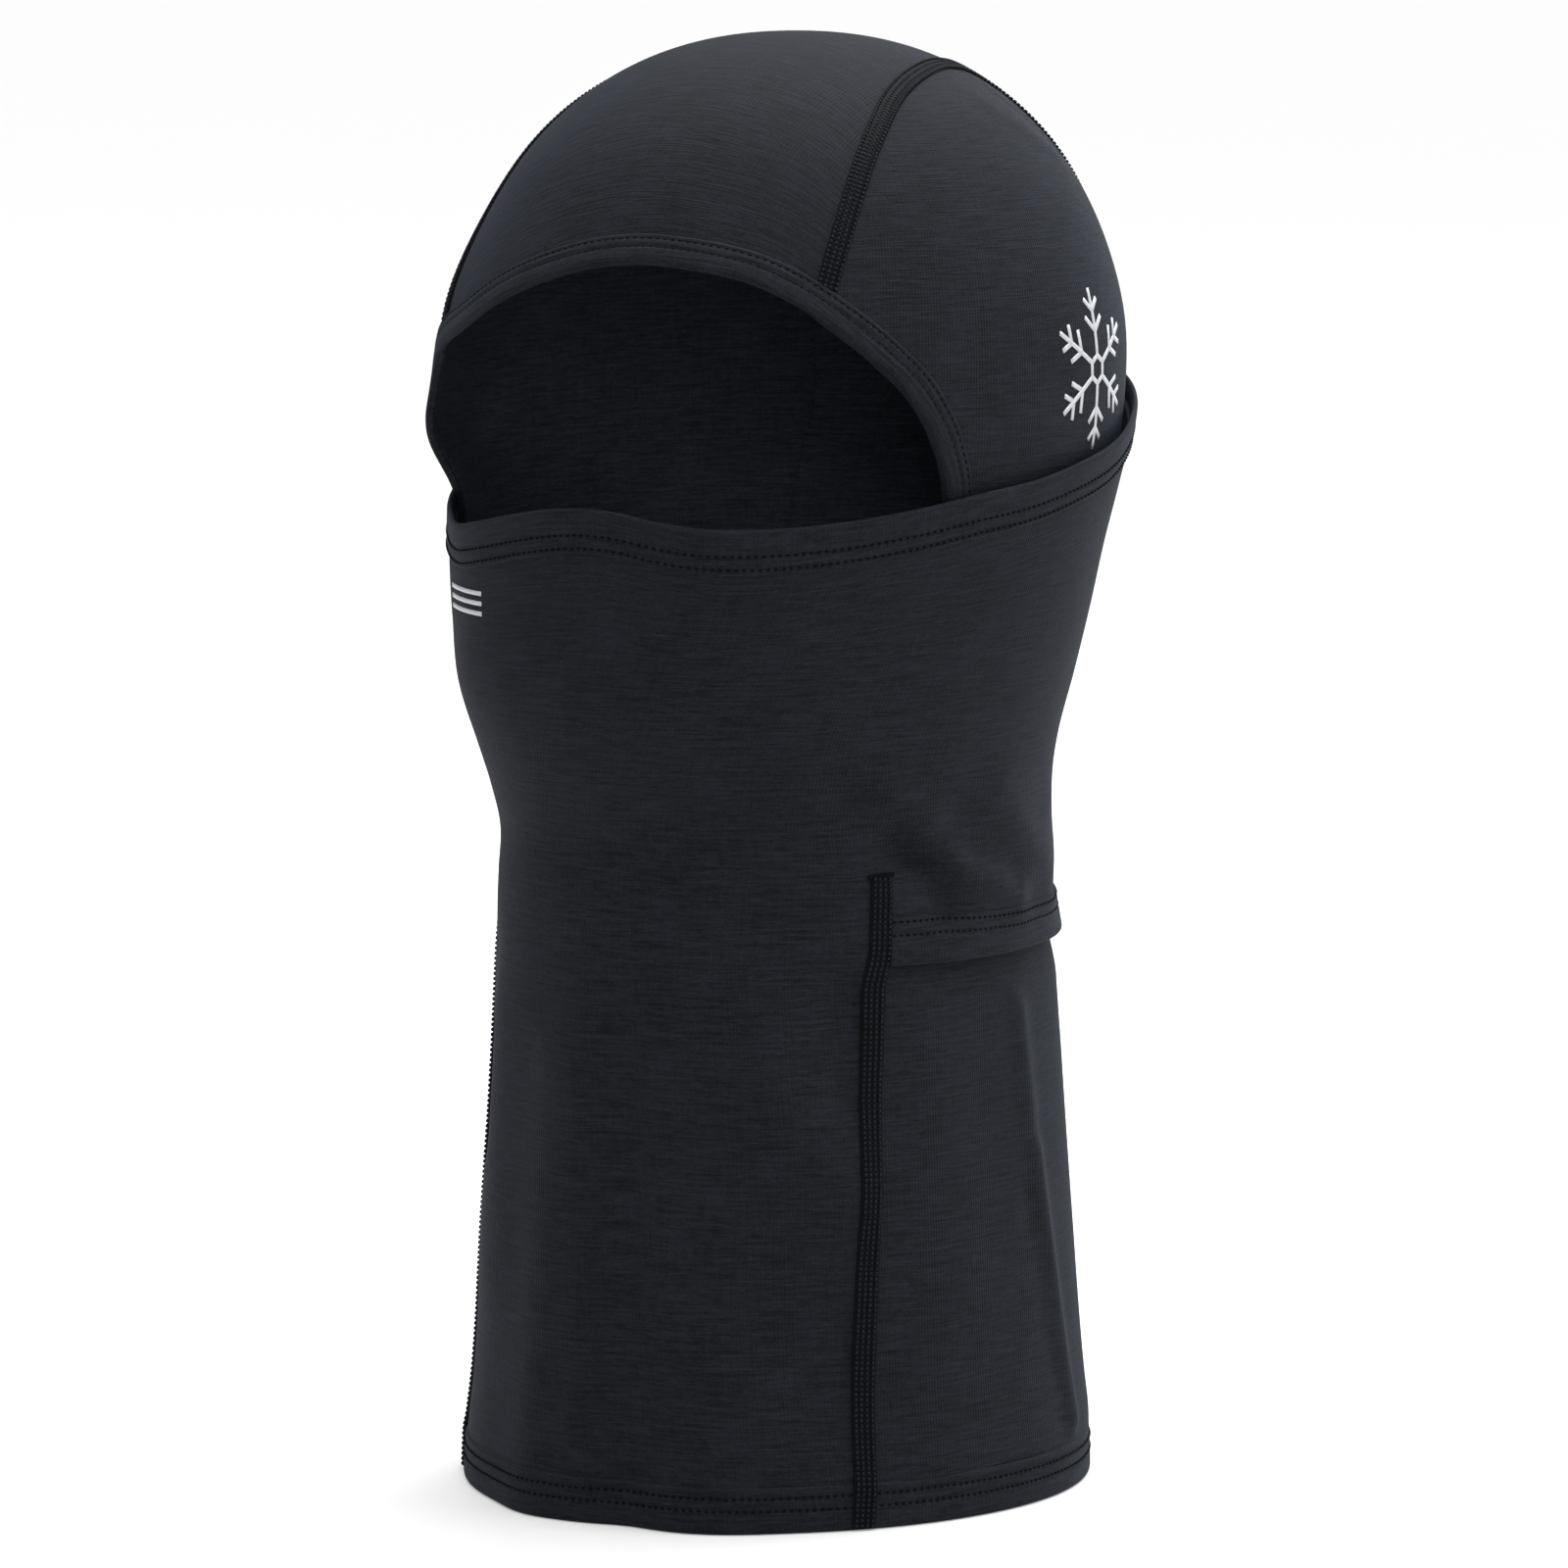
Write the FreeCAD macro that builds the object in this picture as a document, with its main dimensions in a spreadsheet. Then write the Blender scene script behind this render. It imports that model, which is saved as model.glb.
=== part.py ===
"""Hinged ski balaclava: a knit hood, a face mask that wraps round the back of the head, and a neck tube.

Millimetres. +Z up, the wearer faces -Y and the wearer's left is +X. The origin is the centre of the
bottom hem. The tube, the mask and the layer under the wrap are walls between lofts through oval
sections. The hood is a wall between spheroids about the ear axis, so that it can slide over the head.
Each cut piece, hem, seam and line of stitching is that wall, bounded by flat prisms.
"""
import FreeCAD, Part
import os
import Sketcher
from FreeCAD import Placement, Rotation, Vector

# Oval sections of the outer layer: height, half width, half depth, and shift of the centre along Y.
SECTIONS = {
    "foot": (0.0, 77.5, 83.5, -2.0),
    "hem": (32.0, 75.4, 81.4, -2.2),
    "bib": (75.0, 72.6, 79.0, -3.0),
    "collar": (124.0, 69.5, 76.0, -3.6),
    "throat": (158.0, 67.8, 74.0, -3.4),
    "jaw": (182.0, 69.0, 77.0, -5.2),
    "chin": (205.0, 74.8, 84.5, -5.0),
    "cheek": (236.0, 80.5, 92.9, -0.6),
    "ear": (268.0, 84.0, 97.8, 0.0),
    "temple": (291.0, 82.6, 96.2, 0.0),
}

# How far each skin of the loft lies outside the outer layer's own surface.
SKINS = {
    "mask_thread_out": 2.7,
    "mask_hem_out": 2.4,
    "flap_thread_out": 1.2,
    "flap_hem_out": 0.9,
    "thread_out": 0.3,
    "outer_out": 0.0,
    "outer_in": -1.5,
    "inner_out": -1.8,
    "inner_in": -3.0,
    "leg_in": -4.2,
}

# The same for the hood's spheroid.
SHELLS = {
    "hood_thread_out": 0.4,
    "hood_print_out": 0.25,
    "hood_out": 0.0,
    "hood_in": -1.4,
    "hood_hem_in": -2.6,
}

DIMENSIONS = {
    "reach": 130.0,  # further out than any part of the hood
    "sky": 420.0,  # higher than the crown
    "ground": 0.0,
    "gap": 0.5,  # between pieces that move against each other
    "middle": 0.0,  # the plane between the mask's front and its wrap
    # heights
    "hem_top": 12.0,
    "hem_stitch_low": 6.2,
    "hem_stitch_high": 9.6,
    "flap_foot": 137.0,
    "flap_stitch_low": 141.0,
    "flap_stitch_high": 144.4,
    "flap_hem_top": 148.0,
    "tack_foot": 157.0,
    "mask_foot": 165.0,
    "hood_foot": 238.0,
    # side seam, placed along Y at the hem and at the top
    "seam_foot": -51.5,
    "seam_top": -41.5,
    "seam_half": 3.0,
    # face opening in the side view: an arc from the cheek up to the brow, then level
    "edge_foot": -31.0,
    "brow_back": -85.2,
    "brow_height": 314.0,
    "edge_radius": 83.0,
    "fold": 9.0,
    "fold_back": 4.6,
    "fold_rise": 7.7,
    "fold_radius": 92.0,
    "row": 5.0,  # the near side of the hem's stitching
    "row_back": 2.6,
    "row_rise": 4.3,
    "row_radius": 88.0,
    "row_end": 8.2,  # and its far side
    "row_end_back": 4.2,
    "row_end_rise": 7.0,
    "row_end_radius": 91.2,
    # upper edge of the mask: a long arc in the side view
    "edge_front": 247.6,
    "edge_rear": 288.4,
    "edge_reach": 110.0,
    "edge_bend": 800.0,
    "mask_hem": 11.0,
    "mask_stitch_low": 10.2,
    "mask_stitch_high": 6.8,
    "lap": 7.5,  # depth below the edge to which the panels run up under the hem
    # the hood
    "hinge_height": 272.0,  # the ear axis
    "hood_radius": 95.0,
    "hood_half_width": 81.3,
    "strip_front": 56.0,  # half width of the crown strip ahead of the brow
    "strip_back": 45.0,  # and from the crown backwards
    "strip_turn": 12.0,
    "strip_bend": 640.0,
    "thread_half": 2.6,
    "wrap_seam_top": 268.0,
    # reflective mark on each side of the hood, and the bars on the right cheek
    "mark_along": 30.0,
    "mark_height": 293.0,
    "mark_radius": 16.0,
    "mark_line": 1.6,
    "badge_foot": 222.0,
    "badge_bar": 2.0,
    "badge_pitch": 3.4,
    "badge_outer": 52.0,
    "badge_inner": 30.0,
}
BADGE_BARS = 3

doc = FreeCAD.newDocument("balaclava")
sheet = doc.addObject("Spreadsheet::Sheet", "Sizes")
size = dict(DIMENSIONS, **SKINS, **SHELLS)
for place, numbers in SECTIONS.items():
    for kind, number in zip(("height", "width", "depth", "shift"), numbers):
        size[f"{place}_{kind}"] = number
for row, (alias, number) in enumerate(size.items(), start=1):
    sheet.set(f"A{row}", alias)
    sheet.set(f"B{row}", repr(number))
    sheet.setAlias(f"B{row}", alias)
doc.recompute()


def value_of(text):
    """The value of a sum of named sizes, such as 'seam_foot - seam_half'."""
    total, sign = 0.0, 1
    for word in text.split():
        if word in ("+", "-"):
            sign = 1 if word == "+" else -1
        else:
            total += sign * size[word]
    return total


def negated(text):
    """The same sum with every sign turned round."""
    swap = {"+": "-", "-": "+"}
    words = [swap.get(word, word) for word in text.split()]
    return " ".join(words if words[0] in swap else ["-"] + words)


def bind(thing, prop, text):
    """Bind a property to the same sum on the spreadsheet."""
    words = [word if word in ("+", "-") else f"Sizes.{word}" for word in text.split()]
    thing.setExpression(prop, " ".join(words))


# ---- walls ---------------------------------------------------------------------------------


def skin(name):
    """A solid loft through the oval sections, grown by the skin's own offset."""
    ovals = []
    for place in SECTIONS:
        oval = doc.addObject("Part::Ellipse", f"oval_{name}_{place}")
        oval.Placement = Placement(Vector(), Rotation(Vector(0, 0, 1), -90))
        bind(oval, "MajorRadius", f"{place}_depth + {name}")
        bind(oval, "MinorRadius", f"{place}_width + {name}")
        bind(oval, ".Placement.Base.y", f"{place}_shift")
        bind(oval, ".Placement.Base.z", f"{place}_height")
        ovals.append(oval)
    loft = doc.addObject("Part::Loft", f"skin_{name}")
    loft.Sections = ovals
    loft.Solid = True
    return loft


def spheroid(name):
    """The hood's form about the ear axis, grown by the shell's own offset."""
    form = doc.addObject("Part::Ellipsoid", f"form_{name}")
    bind(form, "Radius1", f"hood_radius + {name}")
    bind(form, "Radius2", f"hood_half_width + {name}")
    bind(form, "Radius3", f"hood_radius + {name}")
    form.Angle1, form.Angle2, form.Angle3 = -90, 90, 360
    bind(form, ".Placement.Base.z", "hinge_height")
    return form


skins = {name: skin(name) for name in SKINS}
skins.update({name: spheroid(name) for name in SHELLS})


def wall(outside, inside):
    """The wall between two skins of the tube, or between two of the hood."""
    cut = doc.addObject("Part::Cut", f"wall_{outside}_{inside}")
    cut.Base, cut.Tool = skins[outside], skins[inside]
    return cut


OUTER = wall("outer_out", "outer_in")
INNER = wall("inner_out", "inner_in")
BOTH = wall("outer_out", "inner_in")
JOIN = wall("thread_out", "inner_in")
THREAD = wall("thread_out", "outer_out")
LEG = wall("inner_out", "leg_in")
TACK = wall("flap_hem_out", "thread_out")
FLAP_HEM = wall("flap_hem_out", "outer_in")
FLAP_THREAD = wall("flap_thread_out", "flap_hem_out")
MASK_HEM = wall("mask_hem_out", "thread_out")
MASK_THREAD = wall("mask_thread_out", "mask_hem_out")
HOOD = wall("hood_out", "hood_in")
HOOD_HEM = wall("hood_out", "hood_hem_in")
HOOD_SEAM = wall("hood_thread_out", "hood_in")
HOOD_THREAD = wall("hood_thread_out", "hood_out")
HOOD_PRINT = wall("hood_print_out", "hood_out")

# ---- zones: prisms that bound the pieces ---------------------------------------------------

SIDE_VIEW = Rotation(Vector(1, 1, 1), 120)  # sketch X is the model's Y, sketch Y its Z
TOP_VIEW = Rotation()
BOW_LEFT, BOW_RIGHT = 1, -1


def arc_between(start, end, radius, side):
    """The arc, counter-clockwise, whose middle bows to the left or right of the way from start to end."""
    if side == BOW_LEFT:
        start, end = end, start
    half = (end - start).Length / 2
    inward = Vector(start.y - end.y, end.x - start.x, 0).normalize()
    centre = (start + end) / 2 + inward * (radius**2 - half**2) ** 0.5
    circle = Part.Circle(centre, Vector(0, 0, 1), radius)
    return Part.ArcOfCircle(circle, circle.parameter(start), circle.parameter(end))


def zone(name, corners, arcs=None, view=SIDE_VIEW):
    """A prism through the whole hood. corners are pairs of sums of sizes, and arcs gives the radius
    and the side of each edge that isn't straight, by the number of its first corner."""
    arcs = arcs or {}
    sketch = doc.addObject("Sketcher::SketchObject", f"sketch_{name}")
    sketch.Placement = Placement(Vector(), view)
    points = [Vector(value_of(across), value_of(up), 0) for across, up in corners]
    ends = []
    for i, start in enumerate(points):
        end = points[(i + 1) % len(points)]
        if i in arcs:
            radius, side = arcs[i]
            number = sketch.addGeometry(arc_between(start, end, size[radius], side), False)
            ends.append((number, 2, 1) if side == BOW_LEFT else (number, 1, 2))
            held = sketch.addConstraint(Sketcher.Constraint("Radius", number, size[radius]))
            bind(sketch, f"Constraints[{held}]", radius)
        else:
            number = sketch.addGeometry(Part.LineSegment(start, end), False)
            ends.append((number, 1, 2))
    for i, corner in enumerate(corners):
        number, first, _ = ends[i]
        before, _, last = ends[i - 1]
        sketch.addConstraint(Sketcher.Constraint("Coincident", before, last, number, first))
        for kind, text in zip(("DistanceX", "DistanceY"), corner):
            place = Sketcher.Constraint(kind, -1, 1, number, first, value_of(text))
            held = sketch.addConstraint(place)
            bind(sketch, f"Constraints[{held}]", text)
    prism = doc.addObject("Part::Extrusion", f"zone_{name}")
    prism.Base = sketch
    prism.DirMode = "Normal"
    prism.Solid = True
    span = "reach" if view is SIDE_VIEW else "sky"
    bind(prism, "LengthFwd", span)
    bind(prism, "LengthRev", span)
    return prism


def block(name, low, high):
    """A box between two corners, each of three sums of sizes."""
    box = doc.addObject("Part::Box", f"block_{name}")
    for axis, side, near, far in zip("xyz", ("Length", "Width", "Height"), low, high):
        bind(box, side, f"{far} {negated(near)}")
        bind(box, f".Placement.Base.{axis}", near)
    return box


def level(low, high):
    """A flat slab between two heights."""
    return block(f"{low}_{high}", ("- reach", "- reach", low), ("reach", "reach", high))


LEFT = block("left", ("middle", "- reach", "ground"), ("reach", "reach", "sky"))
RIGHT = block("right", ("- reach", "- reach", "ground"), ("middle", "reach", "sky"))
FRONT = block("front", ("- reach", "- reach", "mask_foot + gap"), ("reach", "middle - gap", "sky"))
REAR = block("rear", ("- reach", "middle", "ground"), ("reach", "reach", "sky"))

bib_zone = zone("bib", [
    ("- reach", "hem_top"), ("seam_foot - seam_half", "hem_top"),
    ("seam_top - seam_half", "mask_foot"), ("- reach", "mask_foot"),
])
seam_zone = zone("side_seam", [
    ("seam_foot - seam_half", "hem_top"), ("seam_foot + seam_half", "hem_top"),
    ("seam_top + seam_half", "mask_foot"), ("seam_top - seam_half", "mask_foot"),
])
lining_zone = zone("lining", [
    ("seam_foot + seam_half", "hem_top"), ("reach", "hem_top"), ("reach", "hood_foot - gap"),
    ("edge_foot + fold", "hood_foot - gap"), ("seam_top + seam_half", "mask_foot"),
])
leg_zone = zone("face_hem_leg", [
    ("seam_top - seam_half", "mask_foot"), ("seam_top + seam_half", "mask_foot"),
    ("edge_foot + fold", "hood_foot - gap"), ("edge_foot", "hood_foot - gap"),
])
flap_zone = zone("flap", [
    ("seam_foot + seam_half", "hem_top"), ("reach", "hem_top"), ("reach", "mask_foot"),
    ("seam_top + seam_half", "mask_foot"),
])
wrap_zone = zone("wrap", [
    ("seam_top + seam_half", "flap_hem_top"), ("reach", "flap_hem_top"), ("reach", "sky"),
    ("middle", "sky"), ("middle", "mask_foot"), ("seam_top + seam_half", "mask_foot"),
])


def face_band(name, low, high):
    """The strip of the hood between two lines behind the edge of the face opening. A line is where
    it stands at the cheek, how far it has moved back and up at the brow, and its radius."""
    corners = [
        (f"edge_foot + {low[0]}", "hood_foot"),
        (f"brow_back + {low[1]}", f"brow_height + {low[2]}"),
        ("- reach", f"brow_height + {low[2]}"),
    ]
    arcs = {0: (low[3], BOW_RIGHT)}
    if high:
        corners += [
            ("- reach", f"brow_height + {high[2]}"),
            (f"brow_back + {high[1]}", f"brow_height + {high[2]}"),
            (f"edge_foot + {high[0]}", "hood_foot"),
        ]
        arcs[4] = (high[3], BOW_LEFT)
    else:
        corners += [("- reach", "sky"), ("reach", "sky"), ("reach", "hood_foot")]
    return zone(name, corners, arcs)


EDGE_LINE = ("middle", "middle", "middle", "edge_radius")
ROW_LINE = ("row", "row_back", "row_rise", "row_radius")
ROW_END_LINE = ("row_end", "row_end_back", "row_end_rise", "row_end_radius")
FOLD_LINE = ("fold", "fold_back", "fold_rise", "fold_radius")
face_hem_zone = face_band("face_hem", EDGE_LINE, FOLD_LINE)
face_row_zone = face_band("face_row", ROW_LINE, ROW_END_LINE)
hood_zone = face_band("hood", FOLD_LINE, None)


def mask_band(name, low, high):
    """The band between two depths below the mask's upper edge."""
    corners = [("- edge_reach", f"edge_front - {low}"), ("edge_reach", f"edge_rear - {low}"),
               ("edge_reach", f"edge_rear - {high}"), ("- edge_reach", f"edge_front - {high}")]
    return zone(name, corners, {0: ("edge_bend", BOW_RIGHT), 2: ("edge_bend", BOW_LEFT)})


mask_hem_zone = mask_band("mask_hem", "mask_hem", "middle")
mask_row_zone = mask_band("mask_row", "mask_stitch_low", "mask_stitch_high")
below_hem_zone = zone("below_hem", [
    ("- edge_reach", "ground"), ("edge_reach", "ground"),
    ("edge_reach", "edge_rear - lap"), ("- edge_reach", "edge_front - lap"),
], {2: ("edge_bend", BOW_LEFT)})

strip_zone = zone("strip", [
    ("- strip_front + thread_half", "- reach"), ("strip_front - thread_half", "- reach"),
    ("strip_back - thread_half", "strip_turn"), ("strip_back - thread_half", "reach"),
    ("- strip_back + thread_half", "reach"), ("- strip_back + thread_half", "strip_turn"),
], {1: ("strip_bend", BOW_RIGHT), 5: ("strip_bend", BOW_RIGHT)}, TOP_VIEW)


def neck_seam_corners(sign):
    """The low and high corner of the seam beside the back strip."""
    if sign == "+":
        return ("strip_back - thread_half", "middle", "ground"), ("strip_back + thread_half", "reach", "sky")
    return ("- strip_back - thread_half", "middle", "ground"), ("- strip_back + thread_half", "reach", "sky")


def beside_strip(side, sign):
    """On one side of the head: the seam beside the crown strip and all outside it, in hood and neck."""
    other = "-" if sign == "+" else "+"
    front, back = f"{sign} strip_front", f"{sign} strip_back"
    near, far = f"{other} thread_half", f"{sign} thread_half"
    toward, away = (BOW_RIGHT, BOW_LEFT) if sign == "+" else (BOW_LEFT, BOW_RIGHT)
    seam = zone(f"crown_seam_{side}", [
        (f"{front} {near}", "- reach"), (f"{back} {near}", "strip_turn"), (f"{back} {near}", "reach"),
        (f"{back} {far}", "reach"), (f"{back} {far}", "strip_turn"), (f"{front} {far}", "- reach"),
    ], {0: ("strip_bend", toward), 4: ("strip_bend", away)}, TOP_VIEW)
    panel = zone(f"side_{side}", [
        (f"{front} {far}", "- reach"), (f"{back} {far}", "strip_turn"), (f"{back} {far}", "reach"),
        (f"{sign} reach", "reach"), (f"{sign} reach", "- reach"),
    ], {0: ("strip_bend", toward)}, TOP_VIEW)
    neck_seam = block(f"neck_seam_{side}", *neck_seam_corners(sign))
    neck_panel = zone(f"neck_{side}", [
        ("middle", "- reach"), (f"{sign} reach", "- reach"), (f"{sign} reach", "reach"),
        (f"{back} {far}", "reach"), (f"{back} {far}", "middle"), ("middle", "middle"),
    ], view=TOP_VIEW)
    return seam, panel, neck_seam, neck_panel


# ---- pieces --------------------------------------------------------------------------------

pieces = {}


def common(base, tool, name):
    both = doc.addObject("Part::Common", name)
    both.Base, both.Tool = base, tool
    return both


def piece(name, whole, *zones):
    """One sub-part: the part of a wall that lies in every one of the zones."""
    bounds = zones[0]
    for number, bound in enumerate(zones[1:], start=1):
        bounds = common(bounds, bound, f"{name}_bounds_{number}")
    result = common(whole, bounds, name)
    result.Label = name
    pieces[name] = result


# neck tube
piece("bottom_hem", BOTH, level("ground", "hem_top"))
piece("bottom_hem_coverstitch", THREAD, level("hem_stitch_low", "hem_stitch_high"))
piece("front_bib", OUTER, bib_zone)
piece("flap_hem", FLAP_HEM, flap_zone, level("flap_foot", "flap_hem_top"))
piece("flap_hem_coverstitch", FLAP_THREAD, flap_zone, level("flap_stitch_low", "flap_stitch_high"))
back_strip_zone = block("back_strip", ("- strip_back + thread_half", "middle", "ground"),
                        ("strip_back - thread_half", "reach", "sky"))
piece("neck_back_strip", INNER, lining_zone, back_strip_zone)

# mask: its front half pulls down, its wrap stays behind the head
piece("mask_front_panel", OUTER, FRONT, below_hem_zone)
piece("mask_front_hem", MASK_HEM, FRONT, mask_hem_zone)
piece("mask_front_coverstitch", MASK_THREAD, FRONT, mask_row_zone)
piece("wrap_hem", MASK_HEM, REAR, mask_hem_zone)
piece("wrap_coverstitch", MASK_THREAD, REAR, mask_row_zone)
wrap_seam_zone = block("wrap_seam", ("- thread_half", "middle", "flap_hem_top"),
                       ("thread_half", "reach", "wrap_seam_top"))
piece("wrap_back_seam", THREAD, wrap_seam_zone)

# hood
piece("crown_strip", HOOD, hood_zone, strip_zone)
piece("face_hem", HOOD_HEM, face_hem_zone)
piece("face_hem_coverstitch", HOOD_THREAD, face_row_zone)


def disc(name, sign, inset):
    """A round bar through one side of the hood, where its reflective mark is printed."""
    bar = doc.addObject("Part::Cylinder", name)
    bar.Placement = Placement(Vector(), Rotation(Vector(0, 1, 0), 90 * sign))
    bind(bar, "Radius", f"mark_radius - {inset}")
    bind(bar, "Height", "reach")
    bind(bar, ".Placement.Base.y", "mark_along")
    bind(bar, ".Placement.Base.z", "mark_height")
    return bar


for side, sign, half in (("left", "+", LEFT), ("right", "-", RIGHT)):
    crown_seam_zone, side_zone, neck_seam_zone, neck_zone = beside_strip(side, sign)
    piece(f"side_seam_{side}", JOIN, seam_zone, half)
    piece(f"bartack_{side}", TACK, seam_zone, level("tack_foot", "mask_foot"), half)
    piece(f"face_hem_leg_{side}", LEG, leg_zone, half)
    piece(f"neck_side_{side}", INNER, lining_zone, neck_zone)
    piece(f"neck_seam_{side}", INNER, lining_zone, neck_seam_zone)
    piece(f"wrap_panel_{side}", OUTER, wrap_zone, below_hem_zone, half)
    piece(f"hood_side_{side}", HOOD, hood_zone, side_zone)
    piece(f"crown_seam_{side}", HOOD_SEAM, hood_zone, crown_seam_zone)
    ring = doc.addObject("Part::Cut", f"ring_{side}")
    ring.Base = disc(f"disc_{side}", 1 if sign == "+" else -1, "middle")
    ring.Tool = disc(f"hole_{side}", 1 if sign == "+" else -1, "mark_line")
    piece(f"reflective_mark_{side}", HOOD_PRINT, ring)

bars = []
foot = "badge_foot"
for number in range(BADGE_BARS):
    bar = block(f"badge_{number}", ("- badge_outer", "- reach", foot),
                ("- badge_inner", "middle", f"{foot} + badge_bar"))
    bars.append(common(THREAD, bar, f"badge_bar_{number}"))
    foot += " + badge_pitch"
badge = doc.addObject("Part::Compound", "cheek_badge")
badge.Links = bars
badge.Label = "cheek_badge"
pieces["cheek_badge"] = badge

doc.recompute()

# ---- checks and export ---------------------------------------------------------------------

for thing in doc.Objects:
    if "Invalid" in thing.State or "Error" in thing.State:
        raise RuntimeError(f"{thing.Label} failed: {thing.State}")
for name, part in pieces.items():
    if part.Shape.isNull() or not part.Shape.isValid() or not part.Shape.Solids:
        raise RuntimeError(f"{name} has no valid solid")

os.makedirs("parts", exist_ok=True)
for name, part in pieces.items():
    part.Shape.exportStep(f"parts/{name}.step")
    box = part.Shape.optimalBoundingBox()
    print(f"{name:28s} solids {len(part.Shape.Solids)}  volume {part.Shape.Volume:9.1f}"
          f"  y {box.YMin:7.1f} {box.YMax:7.1f}  z {box.ZMin:6.1f} {box.ZMax:6.1f}")
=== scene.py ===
"""The looks of a hinged ski balaclava: fine jersey with slubs, folded hems, flatlock seams and stitches.

Lengths are in millimetres until a mesh is made, and in metres for the joints, the floor, the lamps and the
camera. The wearer faces -Y and the wearer's left is +X. A place on the cloth is (phi, z): phi is the oval's
angle in degrees, 0 at the chin and 90 at the left ear.
"""
import math
import bmesh
import bpy
import numpy as np
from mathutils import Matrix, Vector


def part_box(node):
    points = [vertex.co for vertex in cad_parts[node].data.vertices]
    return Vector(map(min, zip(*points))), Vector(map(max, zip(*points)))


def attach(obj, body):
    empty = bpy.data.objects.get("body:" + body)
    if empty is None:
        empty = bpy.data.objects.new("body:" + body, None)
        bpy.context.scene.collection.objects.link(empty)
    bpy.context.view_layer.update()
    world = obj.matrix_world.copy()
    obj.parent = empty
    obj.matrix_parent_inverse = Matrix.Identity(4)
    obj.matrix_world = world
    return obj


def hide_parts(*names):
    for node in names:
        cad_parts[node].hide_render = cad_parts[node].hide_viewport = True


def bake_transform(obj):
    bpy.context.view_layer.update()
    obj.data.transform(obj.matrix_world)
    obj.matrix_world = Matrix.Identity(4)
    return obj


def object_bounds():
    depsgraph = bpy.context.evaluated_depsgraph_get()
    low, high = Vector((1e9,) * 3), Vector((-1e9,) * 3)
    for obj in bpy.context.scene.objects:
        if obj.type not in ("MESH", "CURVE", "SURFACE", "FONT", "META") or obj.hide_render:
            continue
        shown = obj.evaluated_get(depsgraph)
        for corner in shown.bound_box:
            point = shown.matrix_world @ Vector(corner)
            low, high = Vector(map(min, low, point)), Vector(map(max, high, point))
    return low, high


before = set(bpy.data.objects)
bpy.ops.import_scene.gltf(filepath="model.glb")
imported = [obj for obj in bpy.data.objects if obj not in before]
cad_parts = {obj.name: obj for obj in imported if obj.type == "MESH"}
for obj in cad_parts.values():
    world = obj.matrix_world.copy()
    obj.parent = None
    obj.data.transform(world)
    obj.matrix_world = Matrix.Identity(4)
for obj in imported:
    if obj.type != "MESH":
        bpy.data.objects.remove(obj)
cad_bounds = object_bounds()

MM = 0.001
RNG = np.random.default_rng(11)


def top_of(node):
    """Height of a CAD node's top."""
    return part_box(node)[1].z / MM


def foot_of(node):
    """Height of a CAD node's foot."""
    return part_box(node)[0].z / MM


# ---- the form of the cloth -----------

HINGE_Z = 272.0  # the ear axis
CROWN_Z = cad_bounds[1].z / MM
DOME = CROWN_Z - HINGE_Z
NEAR_POLE = 1 - 1e-6  # as near the dome's pole as its form is worked out
HEM_TOP = top_of("bottom_hem")
CLOTH_FOOT = HEM_TOP - 4  # the cloth ends inside the bottom hem
FLAP_FOOT = foot_of("flap_hem")
TACK_Z = foot_of("bartack_left") + 4.6
SQUARE = 2.22  # a superellipse's exponent, a little squarer than an ellipse
TUCK = 3.0  # how far the inner layer lies under the outer one
TUCK_FOOT, TUCK_RISE = 128, 24  # where it starts to go under, and over what height
LEAN = 4.5  # how far the crown sits behind the ear axis
LEAN_RISE = 60  # the height above the ear axis over which it gets there
CLOTH = 1.2  # thickness of the jersey
DEGREE = 1.26  # length of one degree round the cloth
BEHIND = 100  # a crease that reaches past this angle is measured round the back
WAVES, WAVE_TURN, WAVE_HEIGHT, WAVE_FADE = 4, 40, 0.5, 30  # at the foot: count, degrees, size, fade

# The outer profile: height, half width, half depth, and shift of the centre along Y.
OUTER_PROFILE = np.array([
    (0, 77.5, 83.5, -2.4), (12, 77.2, 83.2, -2.2), (26, 75.7, 81.6, -2.2), (66, 72.9, 79.2, -3.0),
    (106, 70.3, 76.8, -3.3), (140, 68.6, 75.1, -3.8), (156, 68.2, 74.4, -3.0), (168, 67.3, 73.7, -3.6),
    (178, 68.4, 75.6, -4.8), (190, 70.6, 79.0, -6.2), (206, 74.6, 84.3, -6.6), (222, 77.0, 87.6, -4.4),
    (238, 79.1, 90.6, -2.4), (252, 81.6, 94.0, -1.0), (266, 84.0, 97.4, -0.2), (276, 84.5, 98.3, 0.0),
    (292, 83.4, 97.2, 0.0),
])
HALF_WIDTH, HALF_DEPTH, SHIFT = 1, 2, 3  # its columns

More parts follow.
